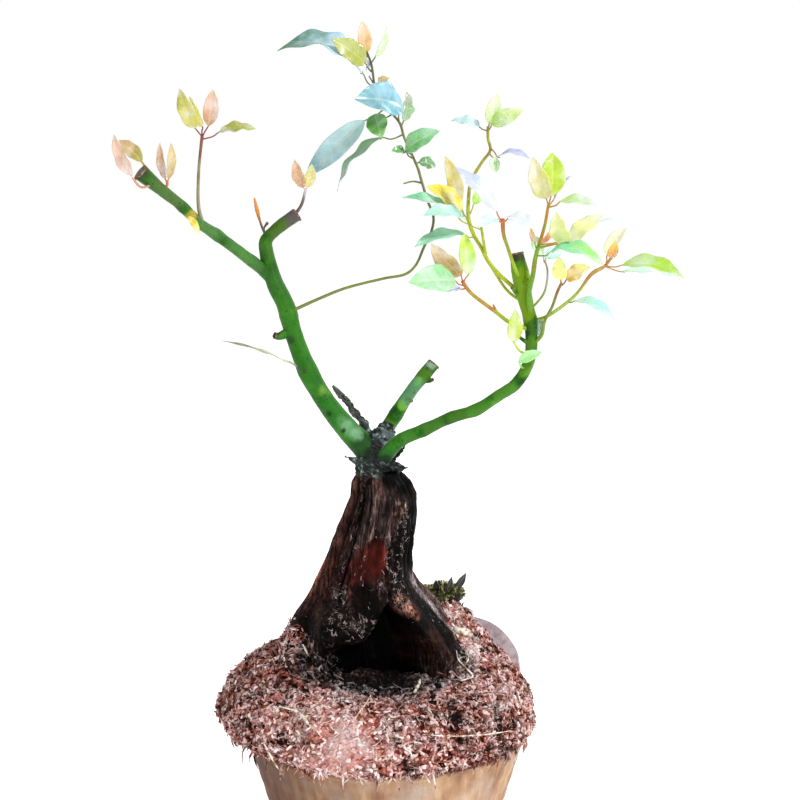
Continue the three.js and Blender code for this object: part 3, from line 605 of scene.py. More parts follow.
def gaps(points):
    """How deep the gaps between clods of soil are at these points, from 0 to 1."""
    seams = bump(noise(points, 7.5, 4, 2), 0.16)
    deep = np.clip(seams + 0.35 * smoothstep(noise(points, 9.5, 7, 2), -0.1, -0.8), 0, 1)
    return deep * (1 - 0.8 * bump(distance(points, smooth_place), 34))


turns = np.linspace(0, 2 * math.pi, soil_sides, endpoint=False)
levels = np.linspace(0, len(mound_rows) - 1, soil_rows)
level_grid, turn_grid = np.meshgrid(levels, turns, indexing="ij")
heap = mound_points(level_grid, turn_grid)
shoulder = sum(lift * bump(turn_grid - math.radians(way), wide) for way, wide, lift in shoulder_humps)
heap[..., 2] += shoulder * smoothstep(level_grid, 4, 1)
outward = heap - np.array([mound_centre_x, 0, 120])
outward /= np.linalg.norm(outward, axis=-1, keepdims=True)
# Clods, crumbs and the gaps between clods, in millimetres.
crumb_relief = (2.4 * noise(heap, 12, 1, 2) + 1.6 * noise(heap, 4.5, 2, 2) - 3.2 * gaps(heap)
                - mound_inset + 0.8)
crumb_relief *= smoothstep(level_grid, 0, 0.8)
heap = heap + outward * crumb_relief[..., None]
buried = np.stack([
    np.stack([radius * np.cos(turns), radius * np.sin(turns), np.full(soil_sides, z)], -1)
    for radius, z in [
        (2, pot_floor + clearance), (pot_inside(pot_floor) - clearance, pot_floor + clearance),
        (pot_inside(70) - clearance, 70), (pot_inside(pot_height) - 2, pot_height - 1),
        (pot_inside(pot_height) - 1, pot_height + 1.2), (pot_rim_radius + 1.2, pot_height + 1.2)]
])
soil_mesh = ring_mesh("soil", np.concatenate([buried, heap]))
soil_points = points_of(soil_mesh)
print("mound from", soil_points.min(0).round(), "to", soil_points.max(0).round())

# %% Damp and bleached soil
# Damp patches, with painted shade in and before the hollow: middle along X and Y, half
# their width, how dark.
damp_and_shade_patches = [
    (-6, -50, 44, 17, 0.85), (-46, -48, 22, 14, 0.9), (30, -50, 18, 11, 0.6), (-14, -72, 26, 9, 0.45),
    (0, -24, 46, 28, 1.5), (-8, -62, 40, 10, 0.25), (-76, -52, 16, 10, 0.45), (62, -18, 9, 15, 1.1),
    (20, -80, 14, 7, 0.35), (96, -78, 12, 10, 0.3),
    (66, -16, 5, 8, 0.9), (72, -28, 5, 9, 0.9),
]
# Bleached and rusty patches: middle, radius, how much paler or darker.
bleach_patches = [
    (smooth_place, 36, 0.32), ((-60, -92, 180), 30, 0.12), ((100, -40, 178), 40, 0.12),
    ((10, -128, 160), 40, 0.1), ((-75, -115, 165), 22, 0.08), ((20, -100, 176), 40, -0.12),
    ((90, -92, 150), 30, -0.12), ((-128, -20, 165), 40, -0.12), ((112, 0, 160), 40, -0.05),
    ((62, 40, 222), 30, 0.12), ((74, -4, 198), 16, 0.18), ((-84, -48, 208), 22, -0.25),
    ((10, -135, 133), 30, -0.1), ((-66, -120, 132), 20, -0.15), ((72, 2, 203), 12, 0.3),
    ((79, -12, 196), 11, 0.25),
]


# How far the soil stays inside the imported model's box.
box_margin = 0.3


def damp_and_shade_at(points):
    """How damp the soil is at these points, with painted shade in and before the hollow.
    It is at its darkest from 1 up.
    """
    wet_and_shaded = sum(strength * bump(np.hypot((points[:, 0] - x) / wide, (points[:, 1] - y) / deep), 1)
              for x, y, wide, deep, strength in damp_and_shade_patches)
    return np.clip(1.15 * wet_and_shaded + (0.75 * wet_and_shaded + 0.1) * noise(points, 7, 5, 3), 0, 1.15)


def weathered(mesh):
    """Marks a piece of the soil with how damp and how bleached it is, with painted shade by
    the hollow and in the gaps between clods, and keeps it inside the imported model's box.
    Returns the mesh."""
    low, high = np.array(cad_box) / MM
    points = np.clip(points_of(mesh), low + box_margin, high - box_margin)
    set_points(mesh, points)
    mark(mesh, "damp_and_shade", damp_and_shade_at(points))
    pale = sum(more * bump(distance(points, place), wide) for place, wide, more in bleach_patches)
    # The gaps between clods are painted darker: painted shade.
    mark(mesh, "bleach_and_gap_shade", pale + 0.16 * noise(points, 26, 6, 3) + 0.17 - 0.55 * gaps(points))
    return mesh


weathered(soil_mesh)
soil_mesh.materials.append(coir_bed)
on_mound = np.arange(len(soil_points)) >= buried.shape[0] * soil_sides
# The stump's foot: its middle along X and Y, and half its width along each.
foot_x, foot_y, foot_wide, foot_deep = -8, 8, 70, 58
clear_of_stump = np.hypot(
    (soil_points[:, 0] - foot_x) / foot_wide, (soil_points[:, 1] - foot_y) / foot_deep) > 1
smooth_patch = bump(distance(soil_points, smooth_place), 30)
cover = (on_mound & clear_of_stump) * (1 - 0.85 * smooth_patch) * (1 - 0.7 * gaps(soil_points))
mark(soil_mesh, "cover", cover)
piece("coir_soil", soil_mesh, "soil", "soil")

# %% [markdown]
# ### Scatter
# Chips, fibres, moss shoots and bark slivers are all the same idea: a few small shapes,
# dropped at random on a surface, each turned and scaled by chance. One geometry tree does
# it. It spreads points where the surface is marked, sets one of the shapes on each, gives
# each copy a tone of its own, and turns the copies into real faces.


# %% Scatter tree
def scatter_tree():
    """Drops copies of small shapes on the marked part of a surface."""
    tree, given = new_tree(
        "scatter on a surface", Shapes="Collection", Copies_per_area="Float", Seed="Int",
        Smallest="Vector", Largest="Vector", Tilt="Float", Finish="Material")
    cover = add(tree, "GeometryNodeInputNamedAttribute", {"Name": "cover"})
    density = add(tree, "Math", {
        0: cover.outputs["Attribute"], 1: given["Copies per area"]}, operation="MULTIPLY")
    spread = add(tree, "GeometryNodeDistributePointsOnFaces", {
        "Mesh": given["Geometry"], "Density": density, "Seed": given["Seed"]})
    shapes = add(tree, "GeometryNodeCollectionInfo", {
        "Collection": given["Shapes"], "Separate Children": True, "Reset Children": True})
    tilt = given["Tilt"]
    lean = add(tree, "Math", {0: tilt, 1: -1}, operation="MULTIPLY")
    turn = add(tree, "FunctionNodeRandomValue", {
        "Min": add(tree, "CombineXYZ", {0: lean, 1: lean, 2: -math.pi}),
        "Max": add(tree, "CombineXYZ", {0: tilt, 1: tilt, 2: math.pi}),
        "Seed": given["Seed"]}, data_type="FLOAT_VECTOR")
    turned_by = add(tree, "FunctionNodeEulerToRotation", {0: turn})
    pose = add(tree, "FunctionNodeRotateRotation", {
        "Rotation": spread.outputs["Rotation"], "Rotate By": turned_by}, rotation_space="LOCAL")
    size = add(tree, "FunctionNodeRandomValue", {
        "Min": given["Smallest"], "Max": given["Largest"], "Seed": given["Seed"]},
        data_type="FLOAT_VECTOR")
    choice = add(tree, "FunctionNodeRandomValue", {4: 0, 5: 99, "Seed": given["Seed"]}, data_type="INT")
    copies = add(tree, "GeometryNodeInstanceOnPoints", {
        "Points": spread.outputs["Points"], "Instance": shapes, "Pick Instance": True,
        "Instance Index": choice, "Rotation": pose, "Scale": size})
    tone = add(tree, "FunctionNodeRandomValue", {2: 0.0, 3: 1.0, "Seed": given["Seed"]})
    toned = add(tree, "GeometryNodeStoreNamedAttribute", {
        "Geometry": copies, "Name": "tone", "Value": tone}, domain="INSTANCE")
    end_tree(tree, toned, given["Finish"])
    return tree


scatter = scatter_tree()


def shape_set(name, meshes):
    """A collection of small shapes, kept out of the scene, for the scatter to pick from."""
    group = bpy.data.collections.new(name)
    for number, mesh in enumerate(meshes):
        group.objects.link(bpy.data.objects.new(f"{name}_{number}", mesh))
    return group


def scattered(surface, shapes, per_square_metre, seed, smallest, largest, tilt, finish):
    """The plain mesh of copies of shapes on a surface. Sizes are in millimetres along the
    length, width and height of a copy, and tilt is the most it leans, in radians."""
    return shape_from(scatter, surface, {
        "Shapes": shapes, "Copies per area": float(per_square_metre), "Seed": seed,
        "Smallest": [s * MM for s in smallest], "Largest": [s * MM for s in largest],
        "Tilt": tilt, "Finish": finish})


# %% Coir chips
# A chip is a torn lump: the skin over a few random points in a ball, one unit across.
def torn_lump(seed, corners):
    """A closed lump with flat torn faces, one unit across."""
    draw = np.random.default_rng(seed)
    points = draw.normal(size=(corners, 3))
    points /= 2 * np.linalg.norm(points, axis=1, keepdims=True)
    shape = bmesh.new()
    for point in points:
        shape.verts.new(point)
    bmesh.ops.convex_hull(shape, input=shape.verts)
    bmesh.ops.recalc_face_normals(shape, faces=shape.faces)
    return mesh_from(shape, "torn_lump")


def coir_finish(name, roughness, low, high):
    """A material for loose coir whose copies each have a tone of their own."""
    material, tree, shader, place = new_finish(name, roughness, gloss=0.2)
    own_tone = add(tree, "Attribute", attribute_name="tone").outputs["Fac"]
    fibrous = add(tree, "TexNoise", {
        "Vector": place, "Scale": per_metre(2.4), "Detail": 3})
    mixed = add(tree, "Math", {
        0: fibrous, 1: 0.7, 2: add(tree, "Math", {0: own_tone, 1: 0.8, 2: -0.2},
                                   operation="MULTIPLY_ADD")}, operation="MULTIPLY_ADD", use_clamp=True)
    colour_and_relief(tree, shader, coir_colour(tree, place, mixed, low, high), fibrous, 0.8, 0.8)
    return material


coir_chip = coir_finish("torn coir chip", 0.85, 0.08, 0.92)
lumps = shape_set("torn_lumps", [torn_lump(seed, 8) for seed in range(6)])
chips = scattered(soil_mesh, lumps, 106000, 3, (2.6, 2.2, 1.8), (8.5, 5.8, 4.4), 0.6, coir_chip)
piece("coir_chips", weathered(chips), "soil")


# %% Coir shreds, fibres and fine roots
# Strands lie on the crumbs in loose curls. Each is a thin three-sided rod, tapered to
# both ends, about one unit long. Shreds are stout, and fibres are as thin as thread.
strand_sides = 3


def strand(seed, curl, thickness, steps=6):
    """A thin curled rod one unit long, thicker in its middle."""
    draw = np.random.default_rng(seed)
    along = np.linspace(-0.5, 0.5, steps)
    phase, swing = draw.uniform(0, 6.28, 2), draw.uniform(0.5, 1.0, 2) * curl
    middle = np.stack([along, swing[0] * np.sin(5 * along + phase[0]) * 0.2,
                       swing[1] * np.sin(4 * along + phase[1]) * 0.12 + curl * 0.25 * along ** 2], -1)
    middle -= middle.mean(0)
    turn = np.arange(strand_sides) / strand_sides * 2 * math.pi
    radius = thickness * (0.35 + 0.65 * np.cos(along * math.pi * 0.95))[:, None]
    ring = np.stack([np.zeros((steps, strand_sides)), radius * np.cos(turn), radius * np.sin(turn)], -1)
    return ring_mesh("strand", (middle[:, None] + ring) / MM)


coir_fibre = coir_finish("dry coir fibre", 0.75, 0.35, 1.05)
shred_shapes = shape_set("shreds", [strand(seed, 1.5, 0.1, 5) for seed in range(10, 16)])
shreds = scattered(soil_mesh, shred_shapes, 24000, 5, (4.5, 6, 6), (12, 16, 14), 0.45, coir_chip)
piece("coir_shreds", weathered(shreds), "soil")
fibre_shapes = shape_set("fibres", [strand(seed, 1.4, 0.02) for seed in range(6)])
fibres = scattered(soil_mesh, fibre_shapes, 20000, 8, (7, 7, 7), (20, 20, 20), 0.35, coir_fibre)
piece("coir_fibres", weathered(fibres), "soil")

# %% [markdown]
# ## Hollow stump
# The stump is old dead wood with a strap of living bark. It leans, flares into buried
# roots and is hollow at its foot. Its skin is one radius for every direction and height,
# so it is a grid of rings, as fine as the picture needs. Sculpting by hand would be the
# other way, but a rule can be read and changed.

# %% Stump sizes
# Rows of the stump: height, then how far it reaches to the left, right, front and back.
trunk_reach = np.array([
    [74, -58, 50, -46, 52], [150, -84, 76, -62, 66], [176, -91, 79, -66, 68],
    [203, -86, 67, -64, 66], [218, -80, 60, -60, 62], [231, -75, 50, -56, 57],
    [243, -68, 40, -51, 52], [254, -61, 29, -46, 47], [266, -56, 22, -42, 43],
    [288, -47, 22, -36, 37], [309, -40, 25, -31, 32], [323, -34, 25, -28, 29],
    [337, -28, 24, -26, 26], [349, -27, 19, -22, 22], [356, -22, 12, -15, 16],
])
# Flutes: how many, their turn, their twist, their depth at the top and at the foot.
flutes = [(5, 0.6, 0.012, 1.2, 5.7), (9, 0, -0.02, 0.8, 2.8), (17, 0, 0.05, 0.9, 0.9)]
flute_foot, flute_top = 190, 300
# Forms: direction in degrees at the ground, its turn for each millimetre up, half its
# width in degrees, the heights that it lies between and fades past, how far it stands out.
trunk_ground = 170
trunk_forms = {
    "bark strap": (-152, -0.067, 13, 170, 356, 9, 4.5),
    "worn trough": (-112, 0.122, 16, 275, 336, 28, -5),
    "dark hood": (-52, 0, 20, 330, 356, 45, 4),
    "oval scar": (-83, 0, 17, 274, 288, 20, -7),
    "bulge": (-122, 0, 22, 229, 236, 18, 12),
    "ragged chunk": (-58, 0, 9, 256, 260, 12, 6),
}
# The hollow: direction and height of points on its roof, its middle direction, the radius
# of its back wall, how much that grows for each degree away, how soft its sides are.
hollow_roof = np.array([[-136, 208], [-118, 219], [-98, 223], [-82, 238], [-64, 254],
                        [-50, 236], [-38, 204]])
hollow_middle = -85
hollow_back_radius = 17
hollow_flare = 0.12
hollow_edge = 8
print("stump's rows run from", trunk_reach[0, 0], "to", trunk_reach[-1, 0], "mm")


# %% Form of the stump
def hollow_share(direction, z):
    """1 inside the hollow at the stump's foot and 0 outside it. Its roof and its sides have
    a soft edge, and it closes just under the ground."""
    first, last = hollow_roof[0, 0], hollow_roof[-1, 0]
    sides = smoothstep(direction, first, first + hollow_edge)
    sides = sides * smoothstep(-direction, -last, hollow_edge - last)
    under = smoothstep(np.interp(direction, hollow_roof[:, 0], hollow_roof[:, 1]) - z, -2, 7)
    return sides * under * smoothstep(z, trunk_ground - 8, trunk_ground + 6)


def form_share(name, direction, z):
    """How much a named form of the stump is there at a direction and height."""
    middle, twist, spread, low, high, fade, out = trunk_forms[name]
    tall = smoothstep(z, low - fade, low) * smoothstep(-z, -high - fade, -high)
    return tall * bump(direction - middle - twist * (z - trunk_ground), spread)


def trunk_middle(z):
    """X of the middle of the stump's section at a height."""
    return (np.interp(z, trunk_reach[:, 0], trunk_reach[:, 1])
            + np.interp(z, trunk_reach[:, 0], trunk_reach[:, 2])) / 2


def trunk_radius(direction, z):
    """Radius of the smooth stump round the middle of its section."""
    turn = np.radians(direction)
    left, right, front, back = [np.interp(z, trunk_reach[:, 0], trunk_reach[:, k]) for k in (1, 2, 3, 4)]
    half_depth = np.where(np.sin(turn) < 0, -front, back)
    radius = 1 / np.hypot(np.cos(turn) / ((right - left) / 2), np.sin(turn) / half_depth)
    low = 1 - smoothstep(z, flute_foot, flute_top)
    for count, phase, twist, top, foot in flutes:
        radius = radius + (top + (foot - top) * low) * np.cos(turn * count + z * twist + phase)
    for name, form in trunk_forms.items():
        radius = radius + form[-1] * form_share(name, direction, z)
    back_radius = hollow_back_radius + hollow_flare * np.abs(direction - hollow_middle)
    inside = hollow_share(direction, z)
    return radius * (1 - inside) + back_radius * inside


# %% Stains and depths
# Wood and bark carry a colour mark called stain, which holds stains and also painted shade
# and highlights. Its alpha tells how strong a stain is.
# The mark deep tells how far a point lies under the smooth skin, up to 1, and is below 0
# where the point stands out. Shade is painted where it is deep, and on the wood a
# highlight where it stands out.
def stains_and_painted_light_over(tree, colour):
    """A colour with the stains of a piece's mark laid over it, painted shade and highlights among them."""
    stain_and_painted_light = add(tree, "Attribute", attribute_name="stain_and_painted_light")
    return add(tree, "Mix", {0: stain_and_painted_light.outputs["Alpha"], 6: colour, 7: stain_and_painted_light.outputs["Color"]})


def shade_painted_when_deep(tree, colour, deep, darkest):
    """A colour that turns towards the darkest one where the skin lies deep: painted shade."""
    shade = add(tree, "Mix", {0: deep, 6: linear("#ffffff"), 7: linear(darkest)})
    return add(tree, "Mix", {0: 1.0, 6: colour, 7: shade}, blend_type="MULTIPLY")


# %% Weathered wood
# Old camphor wood turns grey-brown and splits along its fibres. Shade is painted where the
# skin lies deep, and highlight where it stands out. Stains give the scar, the black hood
# and the pale ridge. Two more marks tell where the wood is rubbed smooth and where it
# crumbles.
weathered_wood, tree, shader, place = new_finish("weathered camphor wood", 0.55, gloss=0.04)
grain = add(tree, "TexNoise", {
    "Vector": add(tree, "Mapping", {"Vector": place, "Scale": (1, 1, 0.13)}),
    "Scale": per_metre(2.2), "Detail": 6, "Roughness": 0.7})
wood = add(tree, "ValToRGB", {"Fac": grain}, [
    (0.32, "#0b0606"), (0.46, "#1f1514"), (0.56, "#372a28"), (0.66, "#6b5d5a"), (0.75, "#a1938f")])
stain_and_painted_light = add(tree, "Attribute", attribute_name="stain_and_painted_light")
polish = add(tree, "Attribute", attribute_name="polish").outputs["Fac"]
grain_light = add(tree, "MapRange", {
    "Value": grain, "From Min": 0.42, "From Max": 0.62,
    "To Min": add(tree, "MapRange", {"Value": polish, "To Min": 0.15, "To Max": 0.8}),
    "To Max": add(tree, "MapRange", {"Value": polish, "To Min": 2.4, "To Max": 1.2})})
lit_stain = add(tree, "VectorMath", {0: stain_and_painted_light.outputs["Color"], "Scale": grain_light}, operation="SCALE")
stained_and_shaded = add(tree, "Mix", {0: stain_and_painted_light.outputs["Alpha"], 6: wood, 7: lit_stain})
deep = add(tree, "Attribute", attribute_name="deep").outputs["Fac"]
shaded_in_cracks = shade_painted_when_deep(tree, stained_and_shaded, deep, "#160b09")
# Raised places are painted paler: painted highlight.
painted_ridge_highlight = add(tree, "MapRange", {
    "Value": deep, "From Min": -0.05, "From Max": -0.65, "To Min": 1.0, "To Max": 3.3})
with_painted_light = add(tree, "VectorMath", {0: shaded_in_cracks, "Scale": painted_ridge_highlight}, operation="SCALE")
crumble = add(tree, "TexNoise", {"Vector": place, "Scale": per_metre(1.7), "Detail": 4})
crumbly_mark = add(tree, "Attribute", attribute_name="crumbly").outputs["Fac"]
pits = add(tree, "Math", {0: crumble, 1: crumbly_mark}, operation="MULTIPLY")
uneven = add(tree, "Math", {0: pits, 1: 1.6, 2: grain}, operation="MULTIPLY_ADD")
rubbed = add(tree, "MapRange", {"Value": polish, "To Min": 1.0, "To Max": 0.12})
roughened = add(tree, "Math", {0: uneven, 1: rubbed}, operation="MULTIPLY")

# %% Torn fibre
# Thin pale edges of torn fibre run in crooked lines where the wood crumbles.
torn = add(tree, "TexNoise", {
    "Vector": add(tree, "Mapping", {"Vector": place, "Scale": (1, 1, 0.5)}),
    "Scale": per_metre(5.2), "Detail": 3})
off_line = add(tree, "Math", {
    0: add(tree, "Math", {0: torn, 1: 0.5}, operation="SUBTRACT")}, operation="ABSOLUTE")
line = add(tree, "MapRange", {
    "Value": off_line, "From Min": 0.005, "From Max": 0.026, "To Min": 1, "To Max": 0})
broken = add(tree, "MapRange", {
    "Value": add(tree, "TexNoise", {"Vector": place, "Scale": per_metre(8), "Detail": 3}),
    "From Min": 0.5, "From Max": 0.56})
fleck = add(tree, "Math", {0: line, 1: broken}, operation="MULTIPLY")
loose = add(tree, "MapRange", {"Value": crumbly_mark, "From Min": 0.25, "From Max": 0.8})
flecked = add(tree, "Math", {0: fleck, 1: loose}, operation="MULTIPLY")
pitted = add(tree, "MapRange", {"Value": crumble, "From Min": 0.5, "From Max": 0.43, "To Max": loose})
holed = add(tree, "Mix", {0: pitted, 6: with_painted_light, 7: linear("#0a0505")})
edged = add(tree, "Mix", {0: flecked, 6: holed, 7: linear("#a89a95")})
colour_and_relief(tree, shader, edged, roughened, 0.8, 0.8)

# %% Raise the stump
trunk_sides = 380
directions = np.arange(trunk_sides) / trunk_sides * 360 - 180
trunk_levels = np.concatenate([[74, 110, 140, 158], np.arange(162, 356, 0.95), [356]])
direction, height = np.meshgrid(directions, trunk_levels)
around = np.radians(direction)
section_middle = trunk_middle(height)
smooth_radius = trunk_radius(direction, height)


def trunk_places(radius):
    """Points of the stump for a radius at each of its directions and heights."""
    return np.stack([section_middle + radius * np.cos(around), radius * np.sin(around), height], -1)


# The fibres run up the stump and lean a little, so their noise is stretched along them.
lean = np.radians(direction + 0.05 * (height - 260))
flow = np.stack([45 * np.cos(lean), 45 * np.sin(lean), 0.11 * height], -1)
skin = trunk_places(smooth_radius)
inside = hollow_share(direction, height)
scar = form_share("oval scar", direction, height)
print("stump skin is", height.shape[0], "rings of", height.shape[1], "points")


# %% Crumbling wood
def dabbed(direction, z, dabs):
    """The sum of soft dabs on the stump, given as middle direction and half width in
    degrees, middle height and half height, strength."""
    return sum(strength * bump(direction - way, wide) * bump(z - level, tall)
               for way, wide, level, tall, strength in dabs)


# Dabs over the bulge and along the brow of the hollow.
crumbling_brow = [(-120, 13, 257, 11, 0.8), (-98, 18, 236, 9, 0.9)]


def crumbling(direction, z):
    """How crumbly the wood is at a direction and height."""
    strap_edge = bump(direction + 138 - 0.195 * (346 - z), 3.5) * smoothstep(z, 262, 285)
    scar_edge = bump(np.hypot((direction + 83) / 19, (z - 284) / 23) - 1, 0.1)
    right_flank = bump(direction + 50, 13) * smoothstep(z, 245, 262) * smoothstep(z, 345, 320)
    return np.clip(
        0.5 * form_share("bulge", direction, z) + form_share("ragged chunk", direction, z)
        + dabbed(direction, z, crumbling_brow) + 0.55 * strap_edge + 0.7 * scar_edge
        + 0.9 * right_flank + 0.5 * smoothstep(z, 235, 190), 0, 1.3)


# %% Cracks and relief
# Cracks open left of the scar, on the right flank, on both sides and over the back. The
# wood is calm in the scar and in the hollow.
crumbly = crumbling(direction, height)
split = np.clip(bump(direction + 124, 22) * smoothstep(height, 225, 262) + 0.8 * bump(direction + 52, 22)
                + 0.6 * smoothstep(np.abs(direction), 30, 0) + 0.5 * smoothstep(np.abs(direction), 150, 180)
                + 0.55 * smoothstep(direction, 20, 60), 0, 1)
calm = (1 - 0.85 * np.clip(scar * 1.3, 0, 1)) * (1 - 0.6 * inside)
cracks = bump(noise(flow, 13, 13, 2), 0.10) * split
# Broad waves and fine fibres along the flow, crumbs, pits and cracks, in millimetres.
relief = calm * (1.9 * noise(flow, 11, 11, 2) + 1.1 * noise(flow, 3.4, 12, 3)
                 + (0.35 + 2.1 * crumbly) * noise(skin, 5.5, 14, 3) + 0.8 * crumbly * noise(skin, 2.4, 15, 2)
                 - 3.2 * cracks)
relief = relief * smoothstep(height, 74, 120) * (1 - smoothstep(height, 353, 356) * 0.7)
rings = trunk_places(smooth_radius + relief)
top_ring = rings[-1]
top_middle = top_ring.mean(0)
dome_height = 4.5
dome = [top_middle + (top_ring - top_middle) * math.sqrt(1 - t * t) + np.array([0, 0, dome_height * t])
        for t in (0.3, 0.55, 0.75, 0.9, 0.98)]
trunk_mesh = ring_mesh("trunk", np.concatenate([rings, dome]))
print("relief from", round(relief.min(), 1), "to", round(relief.max(), 1), "mm")

# %% Stain the stump
# Direction in degrees, height, half its width and half its height, colour, strength.
stump_stains_and_shade = [
    (-150, 310, 24, 70, "#452c27", 0.9),       # reddish bark strap
    (-152, 262, 20, 34, "#3a1c15", 0.85),
    (-166, 238, 22, 36, "#2c1b18", 0.85),
    (-166, 300, 5, 60, "#7a4a3c", 0.6),        # its thin rusty edge
    (-143, 318, 4, 34, "#6a544e", 0.55),       # worn ridge beside it
    (-93, 325, 22, 36, "#2b211f", 0.85),       # bare wood, brown and grey
    (-84, 312, 6, 18, "#423634", 0.6),
    (-100, 300, 6, 12, "#544845", 0.6),
    (-96, 352, 20, 11, "#2a1b19", 0.85),
    (-34, 350, 46, 14, "#050606", 0.98),       # black hood
    (-22, 306, 32, 54, "#050404", 0.98),       # blackened right flank
    (-52, 284, 14, 44, "#080606", 0.95),
    (-62, 335, 3, 2, "#7c6248", 0.7),          # specks of tan lichen
    (-57, 328, 2, 3, "#a08062", 0.7),
    (-66, 326, 3, 2, "#6e5642", 0.7),
    (-53, 333, 2, 3, "#b0906c", 0.7),
    (-104, 270, 28, 28, "#29110e", 0.9),       # scar, brown below and red above
    (-91, 282, 25, 25, "#37120d", 0.97),
    (-80, 288, 14, 14, "#4f1812", 0.9),
    (-83, 285, 8, 8, "#3c130e", 0.8),
    # Painted shade below the scar and over the hollow.
    (-92, 252, 28, 18, "#0c0303", 0.97),
    (-84, 238, 38, 13, "#050303", 0.97),       # painted shade on the brow of the hollow
    (-124, 244, 22, 15, "#251a17", 0.9),       # bulge, with painted shade underneath
    (-121, 257, 9, 7, "#3f3735", 0.6),
    (-120, 226, 32, 14, "#050303", 0.97),
    (-38, 226, 22, 38, "#040303", 0.98),       # painted shade on the front of the right root
    (-100, 237, 8, 4, "#453b39", 0.6),
    (-142, 240, 5, 6, "#45372a", 0.6),
    (-54, 252, 8, 10, "#4a3028", 0.9),         # crumbling chunk
    (-47, 247, 7, 8, "#3a221b", 0.9),
    (-51, 249, 3, 5, "#7c5a4e", 0.5),
    (-58, 257, 4, 4, "#70503f", 0.7),
    (-160, 216, 30, 24, "#140b0a", 0.92),
    (-146, 206, 10, 14, "#3c2012", 0.85),
    (-6, 250, 13, 24, "#4e4647", 0.92),        # pale ridge of the right root
    (-10, 236, 7, 9, "#a29a9b", 0.85),
    (-3, 222, 13, 18, "#6b5e5f", 0.9),
    (0, 219, 8, 6, "#d9bd9a", 0.95),           # cream wood where bark came off
    (-8, 213, 6, 4, "#b89a84", 0.9),
    (-36, 214, 9, 22, "#241410", 0.9),
    (-173, 273, 7, 8, "#a04c34", 0.95),        # painted reddish highlight on the left edge
    # Painted shade at the hollow's edge by the bulge.
    (-88, 237, 8, 9, "#0a0606", 0.85),
    (30, 240, 30, 40, "#3f322e", 0.7),
    (95, 280, 50, 60, "#3b2d28", 0.6),
    (150, 230, 40, 50, "#31221d", 0.7),
]
print("stains on the stump:", len(stump_stains_and_shade))


# %% Paint the stump
def painted(stains, ragged):
    """Colour and strength for each point. A stain is the points' distance from its middle
    in half sizes, its colour and its strength. Later ones cover earlier ones, and ragged
    breaks up their edges."""
    colour = np.zeros((len(ragged), 4))
    for away, shade, strength in stains:
        share = strength * (1 - smoothstep(away + ragged, 0.65, 1.15))
        whole = colour[:, 3] + share - colour[:, 3] * share
        colour[:, :3] += (np.array(linear(shade)[:3]) - colour[:, :3]) * (
            share / np.maximum(whole, 1e-6))[:, None]
        colour[:, 3] = whole
    return colour


def spotted(points, spots, cell, seed):
    """The colours of round spots, given as x, y, z, radius, colour and strength."""
    layers = [(distance(points, spot[:3]) / spot[3], spot[4], spot[5]) for spot in spots]
    return painted(layers, 0.3 * noise(points, cell, seed, 3))


def stump_place(points):
    """Direction in degrees and distance from the middle of the stump, for each point."""
    out = points[:, 0] - trunk_middle(points[:, 2])
    return np.degrees(np.arctan2(points[:, 1], out)), np.hypot(out, points[:, 1])


stump_points = points_of(trunk_mesh)
stump_direction, stump_radius = stump_place(stump_points)
stump_height = stump_points[:, 2]
layers = [
    (np.hypot(((stump_direction - d + 180) % 360 - 180) / wide, (stump_height - z) / tall), shade, strength)
    for d, z, wide, tall, shade, strength in stump_stains_and_shade
]
in_the_hollow = hollow_share(stump_direction, stump_height)
# The hollow is painted black inside, as shade, but its right wall is brown.
wall_brown = bump(stump_direction + 34, 9) * bump(stump_height - 208, 26)
layers.append((1.15 - 0.8 * smoothstep(in_the_hollow, 0.15, 0.6), "#020101", 1.0))
layers.append((1.3 - wall_brown, "#1f120e", 0.8))
mark(trunk_mesh, "stain_and_painted_light", painted(layers, 0.3 * noise(stump_points, 9, 30, 3)))
# A point is fully deep, or fully raised, at this many millimetres off the smooth stump.
full_depth = 2.6
sunk = trunk_radius(stump_direction, stump_height) - stump_radius
mark(trunk_mesh, "deep", np.clip(sunk / full_depth, -1, 1))
mark(trunk_mesh, "crumbly", crumbling(stump_direction, stump_height) * (1 - in_the_hollow))
mark(trunk_mesh, "polish", np.clip(1.4 * form_share("oval scar", stump_direction, stump_height)
                                   + form_share("dark hood", stump_direction, stump_height), 0, 1))
trunk_mesh.materials.append(weathered_wood)
print("stump has", len(stump_points), "points")

# %% [markdown]
# ## Branches along a path
# Limbs, thorns, stems, leaf stalks and roots all follow a line and differ in thickness.
# A curve with a radius at each point holds that, and one geometry tree turns such curves
# into closed rods with lumps on their skin. The lines are the CAD's own.


# %% Branch tree
def branch_tree():
    """Turns curves into closed rods with a lumpy skin."""
    tree, given = new_tree("rod along a path", Sides="Int", Lump_size="Float", Lump_height="Float",
                           Finish="Material")
    ring = add(tree, "GeometryNodeCurvePrimitiveCircle", {"Resolution": given["Sides"], "Radius": 1.0})
    rod = add(tree, "GeometryNodeCurveToMesh", {
        "Curve": given["Geometry"], "Profile Curve": ring, "Scale": add(tree, "GeometryNodeInputRadius"),
        "Fill Caps": True})
    scale = add(tree, "Math", {0: 1.0, 1: given["Lump size"]}, operation="DIVIDE")
    lumps = add(tree, "TexNoise", {"Scale": scale, "Detail": 3})
    centred = add(tree, "Math", {0: lumps, 1: 0.5}, operation="SUBTRACT")
    out = add(tree, "Math", {0: centred, 1: given["Lump height"]}, operation="MULTIPLY")
    move = add(tree, "VectorMath", {0: add(tree, "GeometryNodeInputNormal"), "Scale": out},
               operation="SCALE")
    moved = add(tree, "GeometryNodeSetPosition", {"Geometry": rod, "Offset": move})
    smooth = add(tree, "GeometryNodeSetShadeSmooth", {"Geometry": moved})
    end_tree(tree, smooth, given["Finish"])
    return tree


